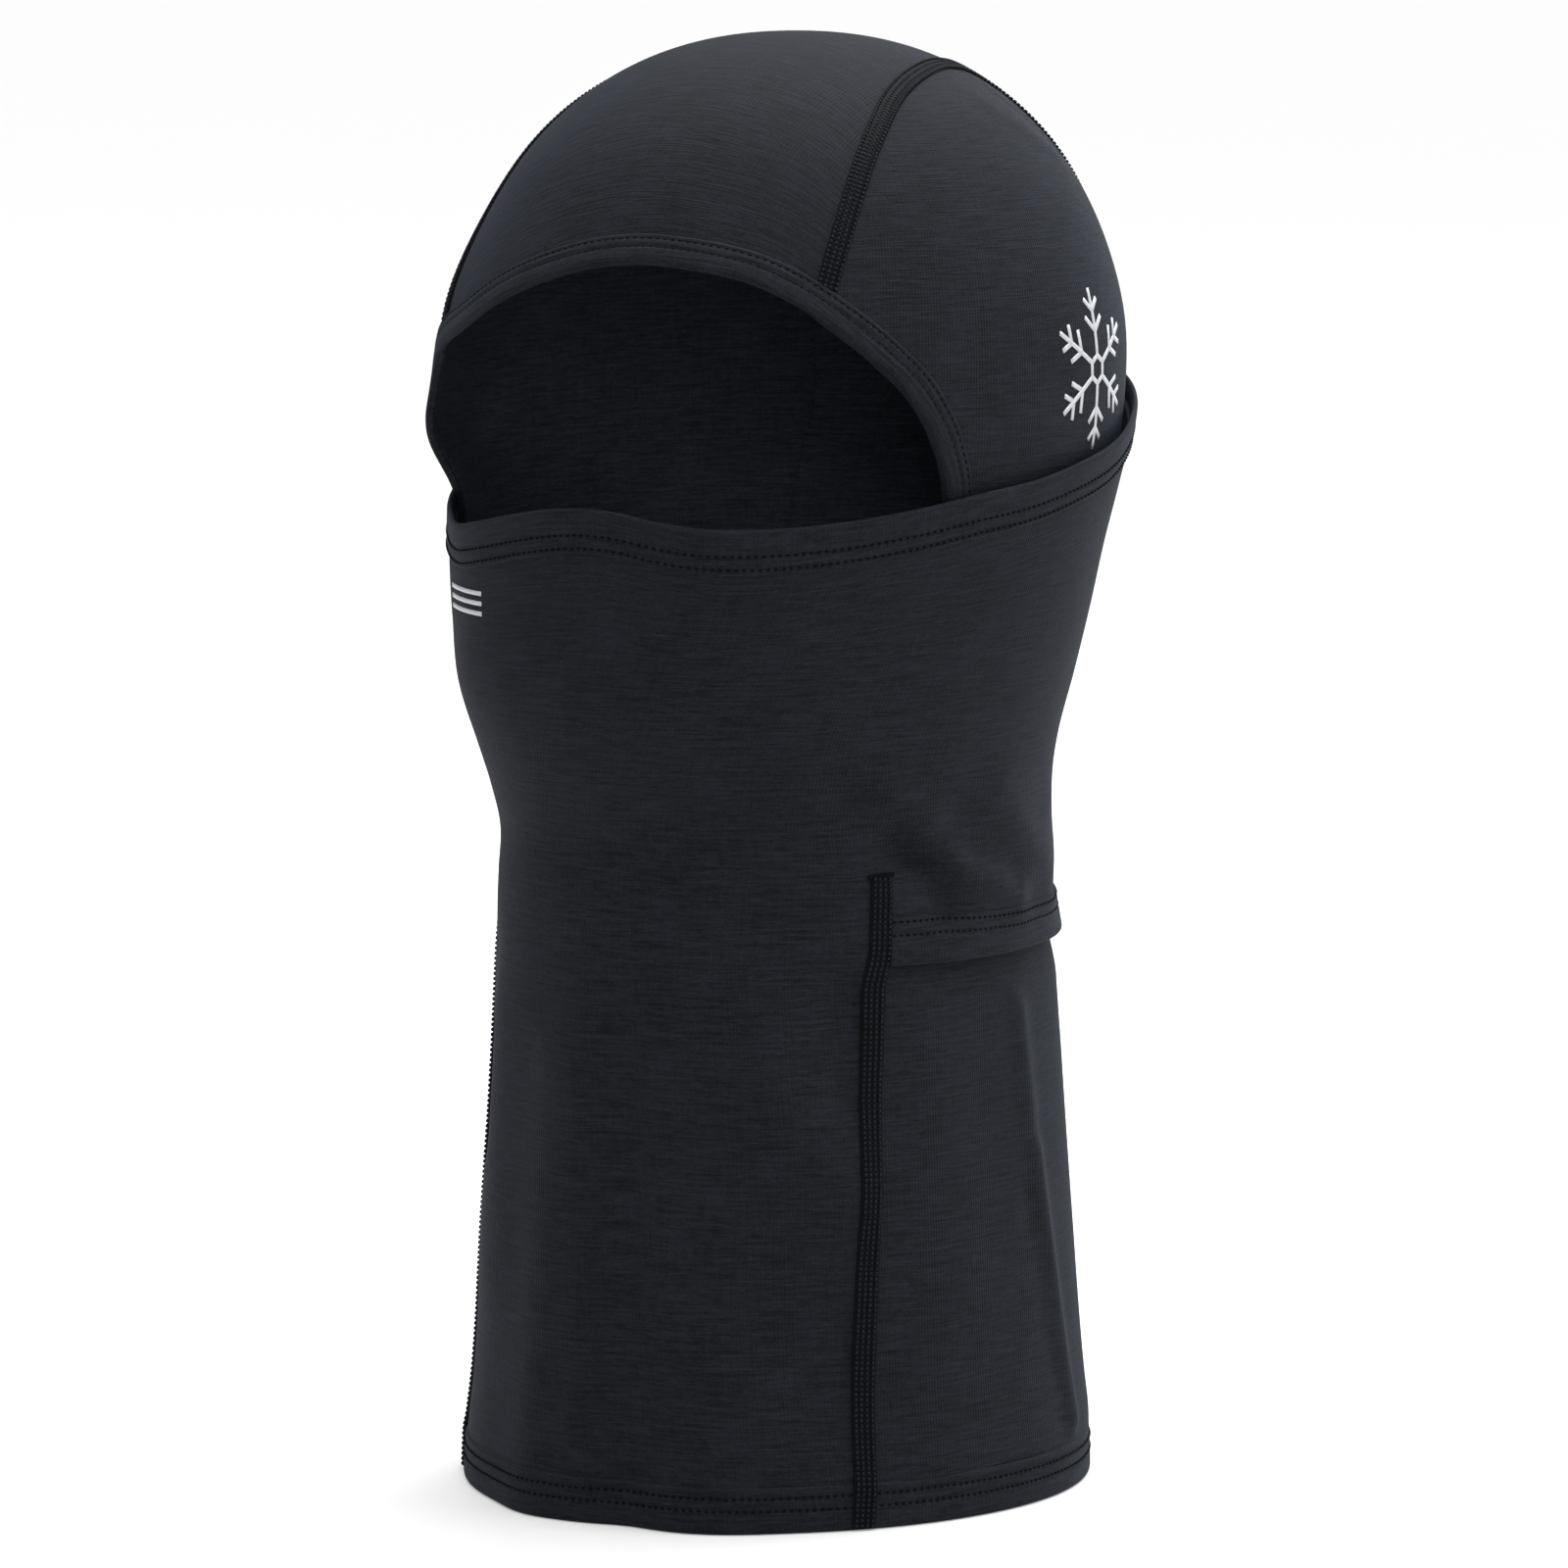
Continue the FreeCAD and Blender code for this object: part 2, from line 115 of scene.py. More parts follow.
# Creases of the outer layer: from (phi, z) to (phi, z), half width and height. Below 0 is a hollow.
CREASES = (
    (-14, 0, -8, 112, 8.0, 2.3), (-1, 16, -2, 118, 4.2, 1.9), (8, 0, 5, 124, 6.5, -2.6),
    (26, 0, 28, 92, 9.0, 1.6),
    (63, 168, 74, 155.5, 4.0, -3.4), (61, 184, 75, 163, 4.6, 2.3), (75, 163, 96, 153, 4.2, 1.7),
    (91, 178, 113, 156, 6.0, 1.4), (79, 175, 95, 161, 4.0, -1.2), (118, 170, 142, 158, 7.0, 1.1),
    (33, 112, 50, 84, 9.0, 3.0), (34, 150, 51, 131, 7.0, -1.7), (33, 58, 44, 42, 9.0, -1.5),
    (50, 136, 51, 108, 3.6, -1.0),
    (-63, 168, -67, 156, 5.0, -2.2), (-82, 184, -118, 163, 7.5, 1.5), (-72, 171, -108, 154, 5.0, -1.2),
    (-47, 136, -50, 92, 7.0, -1.2), (-37, 118, -36, 60, 9.0, 1.0),
    (148, 178, 212, 173, 6.0, -1.4), (140, 194, 222, 190, 8.0, 1.0), (170, 160, 196, 160, 7.0, 0.8),
    (-14, 203, 14, 203, 17.0, 2.2), (-26, 236, -34, 196, 9.0, 0.7), (30, 236, 44, 186, 11.0, 0.9),
    (54, 214, 62, 184, 8.0, -0.8), (-8, 172, 12, 170, 9.0, -0.8), (-44, 254, -70, 258, 9.0, -3.2),
)
# The same for the inner layer: the back bib, the neck and the hood.
BACK_CREASES = (
    (150, 12, 156, 128, 9.0, 1.1), (176, 0, 180, 120, 10.0, -1.2), (206, 12, 203, 128, 9.0, 1.0),
    (96, 124, 98, 96, 2.8, 1.3), (99, 88, 107, 18, 2.6, 1.9), (122, 20, 118, 128, 8.0, 0.9),
    (240, 20, 247, 128, 8.0, 0.9), (88, 10, 84, 118, 7.0, -0.7),
    (66, 16, 70, 124, 6.0, 0.7), (-88, 10, -84, 118, 7.0, -0.7), (-48, 263, -74, 264, 9.0, 4.7),
    (-52, 300, -76, 290, 12.0, 2.2), (108, 290, 150, 294, 14.0, 1.5), (100, 351, 116, 337, 2.6, 0.8),
    (114, 354, 124, 338, 2.6, -0.7),
)


def smoothstep(t):
    """From 0 to 1 as t goes from 0 to 1, and level outside."""
    t = np.clip(t, 0.0, 1.0)
    return t * t * (3 - 2 * t)


def curve(x, places, values):
    """A curve through (places, values) without a kink, and level beyond its ends."""
    slopes = np.gradient(values, places)
    x = np.clip(np.asarray(x, float), places[0], places[-1])
    i = np.clip(np.searchsorted(places, x) - 1, 0, len(places) - 2)
    span = places[i + 1] - places[i]
    t = (x - places[i]) / span
    return ((2 * t**3 - 3 * t**2 + 1) * values[i] + (t**3 - 2 * t**2 + t) * span * slopes[i]
            + (-2 * t**3 + 3 * t**2) * values[i + 1] + (t**3 - t**2) * span * slopes[i + 1])


def profile(z, column):
    """One column of the outer profile at heights z."""
    return curve(z, OUTER_PROFILE[:, 0], OUTER_PROFILE[:, column])


def oval(phi, z, out):
    """The point at (phi, z) of the oval tube, grown by out."""
    angle = np.radians(phi)
    x = (profile(z, HALF_WIDTH) + out) * np.sin(angle)
    y = profile(z, SHIFT) - (profile(z, HALF_DEPTH) + out) * np.cos(angle)
    return np.stack(np.broadcast_arrays(x, y, z), axis=-1).astype(float)


def relief(phi, z, creases):
    """Height of the creases at (phi, z)."""
    along = DEGREE * ((np.asarray(phi, float) + 180) % 360 - 180)
    around = along + np.where(along < 0, 360 * DEGREE, 0)
    total = np.zeros(np.broadcast(along, z).shape)
    for phi_0, z_0, phi_1, z_1, width, height in creases:
        line = around if max(phi_0, phi_1) > BEHIND else along
        start = np.array([DEGREE * phi_0, z_0])
        way = np.array([DEGREE * (phi_1 - phi_0), z_1 - z_0])
        t = np.clip(((line - start[0]) * way[0] + (z - start[1]) * way[1]) / (way @ way), 0, 1)
        away = np.hypot(line - start[0] - t * way[0], z - start[1] - t * way[1])
        total += height * np.exp(-0.5 * (away / width) ** 2)
    return total


def normal_of(surface, phi, z):
    """The outward unit normal of a surface over (phi, z)."""
    step = 0.4  # of a degree, and of a millimetre
    across = surface(phi + step, z) - surface(phi - step, z)
    up = surface(phi, z + step) - surface(phi, z - step)
    normal = np.cross(across, up)
    return normal / np.linalg.norm(normal, axis=-1, keepdims=True)


def lean(z):
    """How far the hood leans back at height z."""
    return LEAN * smoothstep((z - HINGE_Z) / LEAN_RISE)


def ripple(phi, z):
    """The slight waves of the cloth at its foot, which fade upwards."""
    return WAVE_HEIGHT * np.sin(np.radians(WAVES * phi + WAVE_TURN)) * np.exp(-z / WAVE_FADE)


def outer(phi, z):
    """The outside of the outer layer: front bib, mask and wrap."""
    phi, z = np.broadcast_arrays(np.asarray(phi, float), np.asarray(z, float))
    return oval(phi, z, relief(phi, z, CREASES) + ripple(phi, z))


def inner(phi, z):
    """The outside of the inner layer: back bib and neck below the ear axis, and the hood above it."""
    phi, z = np.broadcast_arrays(np.asarray(phi, float), np.asarray(z, float))
    under = smoothstep((z - TUCK_FOOT) / TUCK_RISE)
    tuck = under * (np.minimum(relief(phi, z, CREASES), 0) - TUCK)
    height = tuck + relief(phi, z, BACK_CREASES) + ripple(phi, z)
    low = oval(phi, np.minimum(z, HINGE_Z), height)
    rise = np.clip((z - HINGE_Z) / DOME, 0, NEAR_POLE)
    shrink = (1 - rise**SQUARE) ** (1 / SQUARE)
    low[..., 0] *= shrink
    low[..., 1] = low[..., 1] * shrink + lean(z)
    low[..., 2] = z
    return low


DOME_WIDTH = profile(HINGE_Z, HALF_WIDTH) - TUCK
DOME_DEPTH = profile(HINGE_Z, HALF_DEPTH) - TUCK


def onto_inner(points, out=0.0):
    """Points near the inner layer, moved onto it: straight from the ear axis, or level below it."""
    points = np.asarray(points, float)
    x, y, w = points[..., 0], points[..., 1] - lean(points[..., 2]), points[..., 2] - HINGE_Z
    level = np.hypot(x / DOME_WIDTH, y / DOME_DEPTH)
    scale = (level**SQUARE + np.abs(w / DOME) ** SQUARE) ** (-1 / SQUARE)
    above = w > 0
    z = np.where(above, HINGE_Z + w * scale, points[..., 2])
    z_ring = np.minimum(z, HINGE_Z)
    high_phi = np.arctan2(x / DOME_WIDTH, -y / DOME_DEPTH)
    back = y - profile(z_ring, SHIFT)
    low_phi = np.arctan2(x / profile(z_ring, HALF_WIDTH), -back / profile(z_ring, HALF_DEPTH))
    phi = np.degrees(np.where(above, high_phi, low_phi))
    gradient = np.stack([
        level ** (SQUARE - 2) * x / DOME_WIDTH**2, level ** (SQUARE - 2) * y / DOME_DEPTH**2,
        np.abs(w) ** (SQUARE - 1) / DOME**SQUARE], axis=-1)
    gradient /= np.linalg.norm(gradient, axis=-1, keepdims=True)
    normal = np.where(above[..., None], gradient, normal_of(inner, phi, np.minimum(z, HINGE_Z - 1)))
    return inner(phi, z) + normal * np.asarray(out)[..., None], normal


# ---- lines on the cloth --------------

SEAM_Y = (-53.2, -42.1)  # the side seam at the hem and under the flap
RIGHT_SEAM_BACK = 5.5  # degrees
SEAM_JOG = 1.3  # it steps back where the flap's hem is caught in it
JOG_FOOT, JOG_RISE = 132, 12  # where the step starts, and over what height


def seam_phi(z, sign):
    """How far round the side seam stands at height z. The right one (sign -1) lies further back."""
    z = np.asarray(z, float)
    line = SEAM_Y[0] + (SEAM_Y[1] - SEAM_Y[0]) * np.clip(z / TACK_Z, 0, 1)
    y = line + SEAM_JOG * smoothstep((z - JOG_FOOT) / JOG_RISE)
    phi = np.degrees(np.arccos((profile(z, SHIFT) - y) / profile(z, HALF_DEPTH)))
    return phi + RIGHT_SEAM_BACK if sign < 0 else phi


# The mask's upper edge as (phi, z), from behind the head round the right side and back again.
MASK_EDGE = np.array([
    (-180, 285), (-150, 281), (-127, 274), (-112, 266.5), (-100, 262.4), (-86, 258.8), (-73, 256),
    (-60, 252.3), (-48, 249), (-38, 247.2), (-30, 247), (-22, 248.5), (-15.5, 250.2), (-9, 251.9),
    (-1, 253.6), (5, 254.1), (11, 253.5), (18, 251.5), (24, 250.2), (34, 249.7), (50, 251.3), (63, 254),
    (73.5, 256.6), (86, 259), (96, 261.8), (111.5, 266.4), (127, 273.5), (150, 281), (180, 285),
], float)


def mask_edge(phi):
    """Height of the mask's upper edge: level over the cheeks, a rise at the nose, a climb to the back."""
    phi = (np.asarray(phi, float) + 180) % 360 - 180
    return curve(phi, MASK_EDGE[:, 0], MASK_EDGE[:, 1])


SPAN_STEPS = 24  # steps between two points of a smooth line


def smooth_line(points, count):
    """A smooth line through points, at count places evenly spaced."""
    points = np.asarray(points, float)
    padded = np.vstack([2 * points[0] - points[1], points, 2 * points[-1] - points[-2]])
    t = np.linspace(0, 1, SPAN_STEPS, endpoint=False)[:, None]
    runs = []
    for a, b, c, d in zip(padded, padded[1:], padded[2:], padded[3:]):
        runs.append(0.5 * (2 * b + (c - a) * t + (2 * a - 5 * b + 4 * c - d) * t**2
                           + (3 * b - a - 3 * c + d) * t**3))
    return even(np.vstack(runs + [points[-1:]]), count)


def lengths_along(line):
    """Distance along a line from its start to each of its points."""
    return np.concatenate([[0.0], np.cumsum(np.linalg.norm(np.diff(line, axis=0), axis=1))])


def at(places, run, values):
    """The rows of values, known at the distances run, at other distances along the line."""
    return np.stack([np.interp(places, run, column) for column in values.T], axis=1)


def even(line, count):
    """The same line at count evenly spaced places."""
    run = lengths_along(line)
    return at(np.linspace(0, run[-1], count), run, line)


# The edge of the face opening as (phi, z), from the right bartack over the brow to the left one.
FACE_EDGE = (
    (-64.4, 162), (-64, 182), (-62, 208), (-58.6, 238), (-56.5, 252), (-55, 262), (-52.5, 272),
    (-49.5, 280), (-45.5, 286), (-40, 290.5), (-31.4, 294.8), (-24, 299.6), (-16, 304.4), (-8, 308.2),
    (0, 311.2), (6, 312.6), (12.6, 313.1), (20, 312.3), (27, 310.8), (33.5, 308.3), (40.2, 303.8),
    (46.6, 297.8), (53, 290.6), (59.4, 281.8), (63, 274.2), (66, 264.5), (68.2, 253), (69, 238),
    (67.5, 208), (64, 182), (58.9, 162),
)
EDGE_POINTS, FACE_POINTS = 300, 440  # of the edge before and after it is laid on the cloth
edge_angles = smooth_line(FACE_EDGE, EDGE_POINTS)
face_line = even(inner(edge_angles[:, 0], edge_angles[:, 1]), FACE_POINTS)

# Half width of the crown strip along Y: it narrows over the crown, and opens again behind it.
STRIP = np.array([
    (-86, 56.5), (-65.6, 55.5), (-54.8, 54.0), (-45.7, 51.9), (-35.7, 49.3), (-20.5, 44.7), (-2, 39.9),
    (18, 34.6), (31, 32.6), (40, 35.8), (50, 42.0), (60, 44.6), (75, 45), (110, 45),
], float)
STRIP_FRONT, STRIP_BACK = STRIP[1, 1], STRIP[-1, 1]
REACH = 130.0  # more than the hood's greatest radius
HALVINGS = 40
BROW_Z = 310  # about the height of the edge at the brow
STRIP_LAP = 2.5  # the strip starts this far up from the edge of the opening


def strip_half(y):
    """Half width of the crown strip at y."""
    return curve(y, STRIP[:, 0], STRIP[:, 1])


def on_crown(tau, share):
    """The hood at sagittal angle tau (0 ahead, 180 behind), at a share of the strip's half width."""
    cos, sin = np.cos(np.radians(tau)), np.sin(np.radians(tau))
    low = np.zeros(np.broadcast(tau, share).shape)
    high = np.full_like(low, REACH)
    for _ in range(HALVINGS):
        middle = (low + high) / 2
        x, y = share * strip_half(-middle * cos), -middle * cos
        level = np.hypot(x / DOME_WIDTH, y / DOME_DEPTH)
        outside = level**SQUARE + np.abs(middle * sin / DOME) ** SQUARE > 1
        low, high = np.where(outside, low, middle), np.where(outside, middle, high)
    y = -low * cos
    z = HINGE_Z + low * sin
    return onto_inner(np.stack([share * strip_half(y), y + lean(z), z], axis=-1))[0]


def back_phi(z, share):
    """The angle, behind the head, at a share of the back strip's half width."""
    return 180 - np.degrees(np.arcsin(share * STRIP_BACK / (profile(z, HALF_WIDTH) - TUCK)))


def strip_column(share, count_over, count_down):
    """One line of the strip, from the brow over the crown and down to the bottom hem."""
    x = share * STRIP_FRONT
    front = face_line[np.argmin(np.hypot(face_line[:, 0] - x, (face_line[:, 2] - BROW_Z) / 2))]
    tau = math.degrees(math.atan2(front[2] + STRIP_LAP - HINGE_Z, -front[1]))
    over = on_crown(np.linspace(tau, 180, count_over, endpoint=False), share)
    z = np.linspace(HINGE_Z, CLOTH_FOOT, count_down)
    return np.vstack([over, inner(back_phi(z, share), z)])


# ---- meshes --------------------------

WELD = 0.02  # points closer than this become one


def make_object(name, points, faces, material, uvs=None):
    """A smooth-shaded object. uvs holds distances across and up the knit, one pair per point."""
    mesh = bpy.data.meshes.new(name)
    mesh.from_pydata((np.asarray(points) * MM).tolist(), [], [list(map(int, f)) for f in faces])
    if uvs is not None:
        layer = mesh.uv_layers.new(name="knit")
        corners = np.empty(len(mesh.loops), int)
        mesh.loops.foreach_get("vertex_index", corners)
        layer.data.foreach_set("uv", (np.asarray(uvs)[corners] * MM).astype(np.float32).ravel())
    mesh.polygons.foreach_set("use_smooth", [True] * len(mesh.polygons))
    mesh.materials.append(material)
    mesh.validate()
    thing = bpy.data.objects.new(name, mesh)
    bpy.context.collection.objects.link(thing)
    return thing


def grid_faces(rows, columns, close_rows=False, close_columns=False):
    """Quads over a grid of points numbered row by row."""
    faces = []
    for i in range(rows if close_rows else rows - 1):
        for j in range(columns if close_columns else columns - 1):
            k, m = (i + 1) % rows, (j + 1) % columns
            faces.append((i * columns + j, i * columns + m, k * columns + m, k * columns + j))
    return faces


def grid_uvs(points):
    """Distances along the rows and along the middle column."""
    across = np.linalg.norm(np.diff(points, axis=1), axis=2)
    u = np.concatenate([np.zeros((points.shape[0], 1)), np.cumsum(across, axis=1)], axis=1)
    u -= u[:, u.shape[1] // 2][:, None]
    v = lengths_along(points[:, points.shape[1] // 2])[:, None] * np.ones(points.shape[1])
    return np.stack([u, v], axis=-1)


def thicken(thing):
    """Give a sheet its thickness, with closed rims and an inside painted lighter than the outside, as
    painted light.
    """
    thing.data.materials.append(PAINTED_LIGHT_INSIDE)
    solid = thing.modifiers.new("thickness", "SOLIDIFY")
    solid.material_offset = 1
    solid.thickness = CLOTH * MM
    solid.offset = -1
    shaped = thing.evaluated_get(bpy.context.evaluated_depsgraph_get())
    mesh = bpy.data.meshes.new_from_object(shaped)
    thing.modifiers.clear()
    thing.data = mesh


def cloth(name, points, keep=None, close=False, uvs=None):
    """A thick sheet over a grid of points whose outside faces away from the head."""
    if close:
        points = np.concatenate([points, points[:, :1]], axis=1)
    rows, columns, _ = points.shape
    uvs = grid_uvs(points) if uvs is None else uvs
    faces = [f for f in grid_faces(rows, columns) if keep is None or keep(f, columns)]
    thing = make_object(name, points.reshape(-1, 3), faces, KNIT, uvs.reshape(-1, 2))
    clean(thing)
    thicken(thing)
    return thing


def clean(thing):
    """Weld the points that coincide, drop loose ones, and turn the outside away from the head."""
    work = bmesh.new()
    work.from_mesh(thing.data)
    bmesh.ops.remove_doubles(work, verts=work.verts, dist=WELD * MM)
    bmesh.ops.delete(work, geom=[v for v in work.verts if not v.link_faces], context="VERTS")
    away = 0.0
    for face in work.faces:
        spot = face.calc_center_median()
        from_core = Vector((spot.x, spot.y, spot.z - min(spot.z, HINGE_Z * MM)))
        away += face.normal.dot(from_core) * face.calc_area()
    if away < 0:
        bmesh.ops.reverse_faces(work, faces=work.faces)
    work.to_mesh(thing.data)
    work.free()


def shell(name, points, faces, material, uvs=None):
    """A closed shell with its faces turned outwards."""
    thing = make_object(name, points, faces, material, uvs)
    work = bmesh.new()
    work.from_mesh(thing.data)
    bmesh.ops.recalc_face_normals(work, faces=work.faces)
    work.to_mesh(thing.data)
    work.free()
    return thing


def tube(name, loops, run, section_run, material, close=False):
    """A closed shell whose rows of points run along a line, at distances run and section_run."""
    rows, columns, _ = loops.shape
    faces = grid_faces(rows, columns, close_rows=True, close_columns=close)
    if not close:
        faces += [range(0, rows * columns, columns), range(columns - 1, rows * columns, columns)]
    uvs = np.stack(np.meshgrid(run, section_run), axis=-1)
    return shell(name, loops.reshape(-1, 3), faces, material, uvs.reshape(-1, 2))


def band(name, surface, section, close):
    """A folded hem: a closed section, as (depth, height) pairs, carried along surface(depth, height)."""
    loops = np.stack([surface(depth, height) for depth, height in section])
    return tube(name, loops, lengths_along(loops[0]), lengths_along(np.array(section)), HEM_KNIT, close)


FOLD = ((0.0, -0.1), (0.25, 0.5), (0.6, 0.82))  # depth, and height as a share of the thickness
UNDER_FOLD = ((0.6, 0.95), (0.2, 0.6))  # depth, and height as a share of the underside's
UNDERSIDE = 0.7  # how far a hem reaches into the cloth, as a share of its thickness
HEM_POINTS = 12  # across the flat part
HEM_START, HEM_REST = 1.2, 0.6  # the flat part starts after the fold and stops short of the end
HEM_THINS = 0.35  # share of the thickness that is gone at the hem's end
HEM_STEP = 0.1  # how round the end is
HEM_END = 0.25  # its height as a share of the thickness
GROOVE, GROOVE_SPREAD = 0.32, 0.55  # how deep and how wide a row of stitches sinks in


def hem_section(width, thickness, rows):
    """The section of a folded hem: a round fold, stitches that sink in, and an end that lies down."""
    depths = np.linspace(HEM_START, width - HEM_REST, HEM_POINTS)
    depths = np.unique(np.concatenate([depths, rows]))
    body = thickness * (1 - HEM_THINS * (depths / width) ** 2)
    for row in rows:
        body -= GROOVE * np.exp(-(((depths - row) / GROOVE_SPREAD) ** 2))
    under = -thickness * UNDERSIDE
    fold = [(depth, share * thickness) for depth, share in FOLD]
    end = [(width - HEM_STEP, HEM_END * thickness), (width, -HEM_STEP), (width - 2 * HEM_STEP, under)]
    back = [(depth, under * share) for depth, share in UNDER_FOLD]
    return fold + list(zip(depths, body)) + end + back


COVER_STITCH = (0.95, 0.28, 1.95)  # length, radius and pitch
LOCK_KNOT = (0.95, 0.34, 1.3)
TACK_STITCH = (1.5, 0.30, 1.1)
UNEVEN = (0.9, 1.1)  # the shortest and the longest stitch, as shares of the length
AHEAD = 0.3  # how far along the line a stitch's direction is taken
TINY = 1e-9  # keeps a divisor off zero


def stitches(line, normals, stitch, close=False):
    """A row of stitches along a line, each a small rounded piece of thread lying on the cloth."""
    length, radius, pitch = stitch
    if close:
        line, normals = np.vstack([line, line[:1]]), np.vstack([normals, normals[:1]])
    run = lengths_along(line)
    count = max(2, int(run[-1] / pitch))
    places = (np.arange(count) + 0.5) * run[-1] / count
    spots = at(places, run, line)
    up = at(places, run, normals)
    tangent = at(places + AHEAD, run, line) - spots
    tangent /= np.maximum(np.linalg.norm(tangent, axis=1, keepdims=True), TINY)
    side = np.cross(up, tangent)
    side /= np.maximum(np.linalg.norm(side, axis=1, keepdims=True), TINY)
    up = np.cross(tangent, side)
    return spots, tangent, side, up, length * RNG.uniform(*UNEVEN, count), radius


RING = 6  # points round a thread
BEAD = ((-0.5, 0.35, -0.25), (-0.3, 1.0, 0.1), (0.3, 1.0, 0.1), (0.5, 0.35, -0.25))  # along, width, lift


def thread_object(name, rows, material):
    """One mesh of all the stitches in rows."""
    points, faces = [], []
    around = np.linspace(0, 2 * math.pi, RING, endpoint=False)
    for spots, tangent, side, up, length, radius in rows:
        for k in range(len(spots)):
            base = len(points)
            for along, width, lift in BEAD:
                centre = spots[k] + tangent[k] * along * length[k] + up[k] * lift * radius
                for angle in around:
                    outwards = side[k] * math.cos(angle) + up[k] * math.sin(angle)
                    points.append(centre + radius * width * outwards)
            for ring in range(len(BEAD) - 1):
                for j in range(RING):
                    a, b = base + ring * RING + j, base + ring * RING + (j + 1) % RING
                    faces.append((a, b, b + RING, a + RING))
            faces.append([base + j for j in reversed(range(RING))])
            faces.append([base + (len(BEAD) - 1) * RING + j for j in range(RING)])
    return shell(name, np.array(points), faces, material)


SEAM_HEIGHT = 0.62  # of a flatlock seam, and of the stitches on a hem
SEAM_HALF, SIDE_SEAM_HALF = 2.75, 3.05  # half widths; the side seam's dark ground reaches past its knots, a dark margin that is painted shade along the seam's edges
SEAM_SINK, SIDE_SEAM_SINK = 0.35, 0.9  # how far down into the cloth it reaches
RIDGE_PITCH = 1.25  # from one crossing thread to the next
RIDGE_POINTS = 4
RIDGE_DEPTH = 0.16
# Places across a seam's top and its underside, as shares of its half width.
ACROSS_SEAM = np.array([-1, -0.92, -0.7, -0.45, -0.2, 0, 0.2, 0.45, 0.7, 0.92, 1])
UNDER_SEAM = (0.96, 0, -0.96)
SEAM_EDGE = 0.95  # the ridges stop at this share of the half width
SEAM_THINS = 0.75  # share of the height that is gone at the seam's edges
FURROW = 0.12  # depth of the furrows between the columns of thread
KNOT_COLUMNS = (-2.15, -0.72, 0.72, 2.15)
KNOT_LIFT = 0.5


def ribbon(name, line, normals, half, sink):
    """A flatlock seam: a low band along a line, corrugated by the threads that cross it."""
    run = lengths_along(line)
    count = int(run[-1] / (RIDGE_PITCH / RIDGE_POINTS))
    places = np.linspace(0, run[-1], count)
    spots = at(places, run, line)
    up = at(places, run, normals)
    up /= np.linalg.norm(up, axis=1, keepdims=True)
    side = np.cross(up, np.gradient(spots, axis=0))
    side /= np.linalg.norm(side, axis=1, keepdims=True)
    wave = 0.5 + 0.5 * np.cos(2 * math.pi * places / RIDGE_PITCH)
    crest = SEAM_HEIGHT * (1 - SEAM_THINS * np.abs(ACROSS_SEAM) ** 4)
    crest = crest - FURROW * np.cos(ACROSS_SEAM * 3 * math.pi) ** 2
    rows = [spots + side * half * share + up * (top - RIDGE_DEPTH * wave * (abs(share) < SEAM_EDGE))[:, None]
            for share, top in zip(ACROSS_SEAM, crest)]
    rows += [spots + side * half * share - up * sink for share in UNDER_SEAM]
    across = np.concatenate([ACROSS_SEAM * half, [half, 0, -half]])
    return tube(name, np.stack(rows), places, across, SEAM)


def ladder(name, line, normals):
    """The four columns of knots that hold a flatlock seam."""
    rows = [stitches(beside(line, normals, shift), normals, LOCK_KNOT) for shift in KNOT_COLUMNS]
    return thread_object(name, rows, KNOTS_PAINTED_HIGHLIGHT)


def beside(line, normals, shift):
    """The line moved sideways on the cloth and raised to the height of the knots."""
    tangent = np.gradient(line, axis=0)
    side = np.cross(normals, tangent)
    side /= np.linalg.norm(side, axis=1, keepdims=True)
    return line + side * shift + normals * KNOT_LIFT


# ---- materials -----------------------


# The knit's layers: repeats per metre across, along and through; detail; roughness; share of the tone.
KNIT_LAYERS = {
    "slub": ((75, 1250, 1), 3.0, 0.62, 0.36),
    "fleck": ((330, 1900, 1), 2.0, 0.60, 0.26),
    "fibre": ((2600, 900, 1), 2.0, 0.70, 0.20),
    "wale": ((1150, 90, 1), 2.0, 0.50, 0.10),
    "cloud": ((34, 46, 1), 3.0, 0.50, 0.08),
}
TONE_STOPS = (0.42, 0.50, 0.58)  # where the tone is dark, middling and light
RIB_PITCH, ROW_PITCH = 0.95, 0.80
RIB_SHARE, ROW_SHARE, SLUB_SHARE, FIBRE_SHARE = 0.14, 0.06, 1.1, 0.7  # of the knit's relief
ROUGHNESS, FLECK_ROUGHNESS = 0.74, 0.14  # roughness of the jersey, and what its flecks add
KNIT_RELIEF, THREAD_RELIEF, FILM_RELIEF = (0.80, 0.22), (0.4, 0.1), (0.25, 0.1)  # strength and depth
KNIT_FINISH = {"Specular IOR Level": 0.10, "Sheen Weight": 0.024, "Sheen Roughness": 0.45,
               "Sheen Tint": (0.46, 0.62, 0.95, 1.0)}
THREAD_FINISH = {"Roughness": 0.62, "Specular IOR Level": 0.04}
FILM_FINISH = {"Roughness": 0.42, "Metallic": 0.25}
DULL = 0.86  # the film's darker grains, as a share of its colour


def nodes_of(name):
    """A new material, with its node tree and its shader."""
    material = bpy.data.materials.new(name)
    material.use_nodes = True
    tree = material.node_tree
    return material, tree, tree.nodes["Principled BSDF"]


def fill(node, values):
    """Set a node's inputs by name."""
    for name, value in values.items():
        node.inputs[name].default_value = value


def math_node(tree, operation, a, b=None):
    """The result of one operation. a and b are numbers or the outputs of other nodes."""
    node = tree.nodes.new("ShaderNodeMath")
    node.operation = operation
    for socket, value in zip(node.inputs, (a, b)):
        if value is None:
            continue
        if isinstance(value, (int, float)):
            socket.default_value = value
        else:
            tree.links.new(value, socket)
    return node.outputs[0]


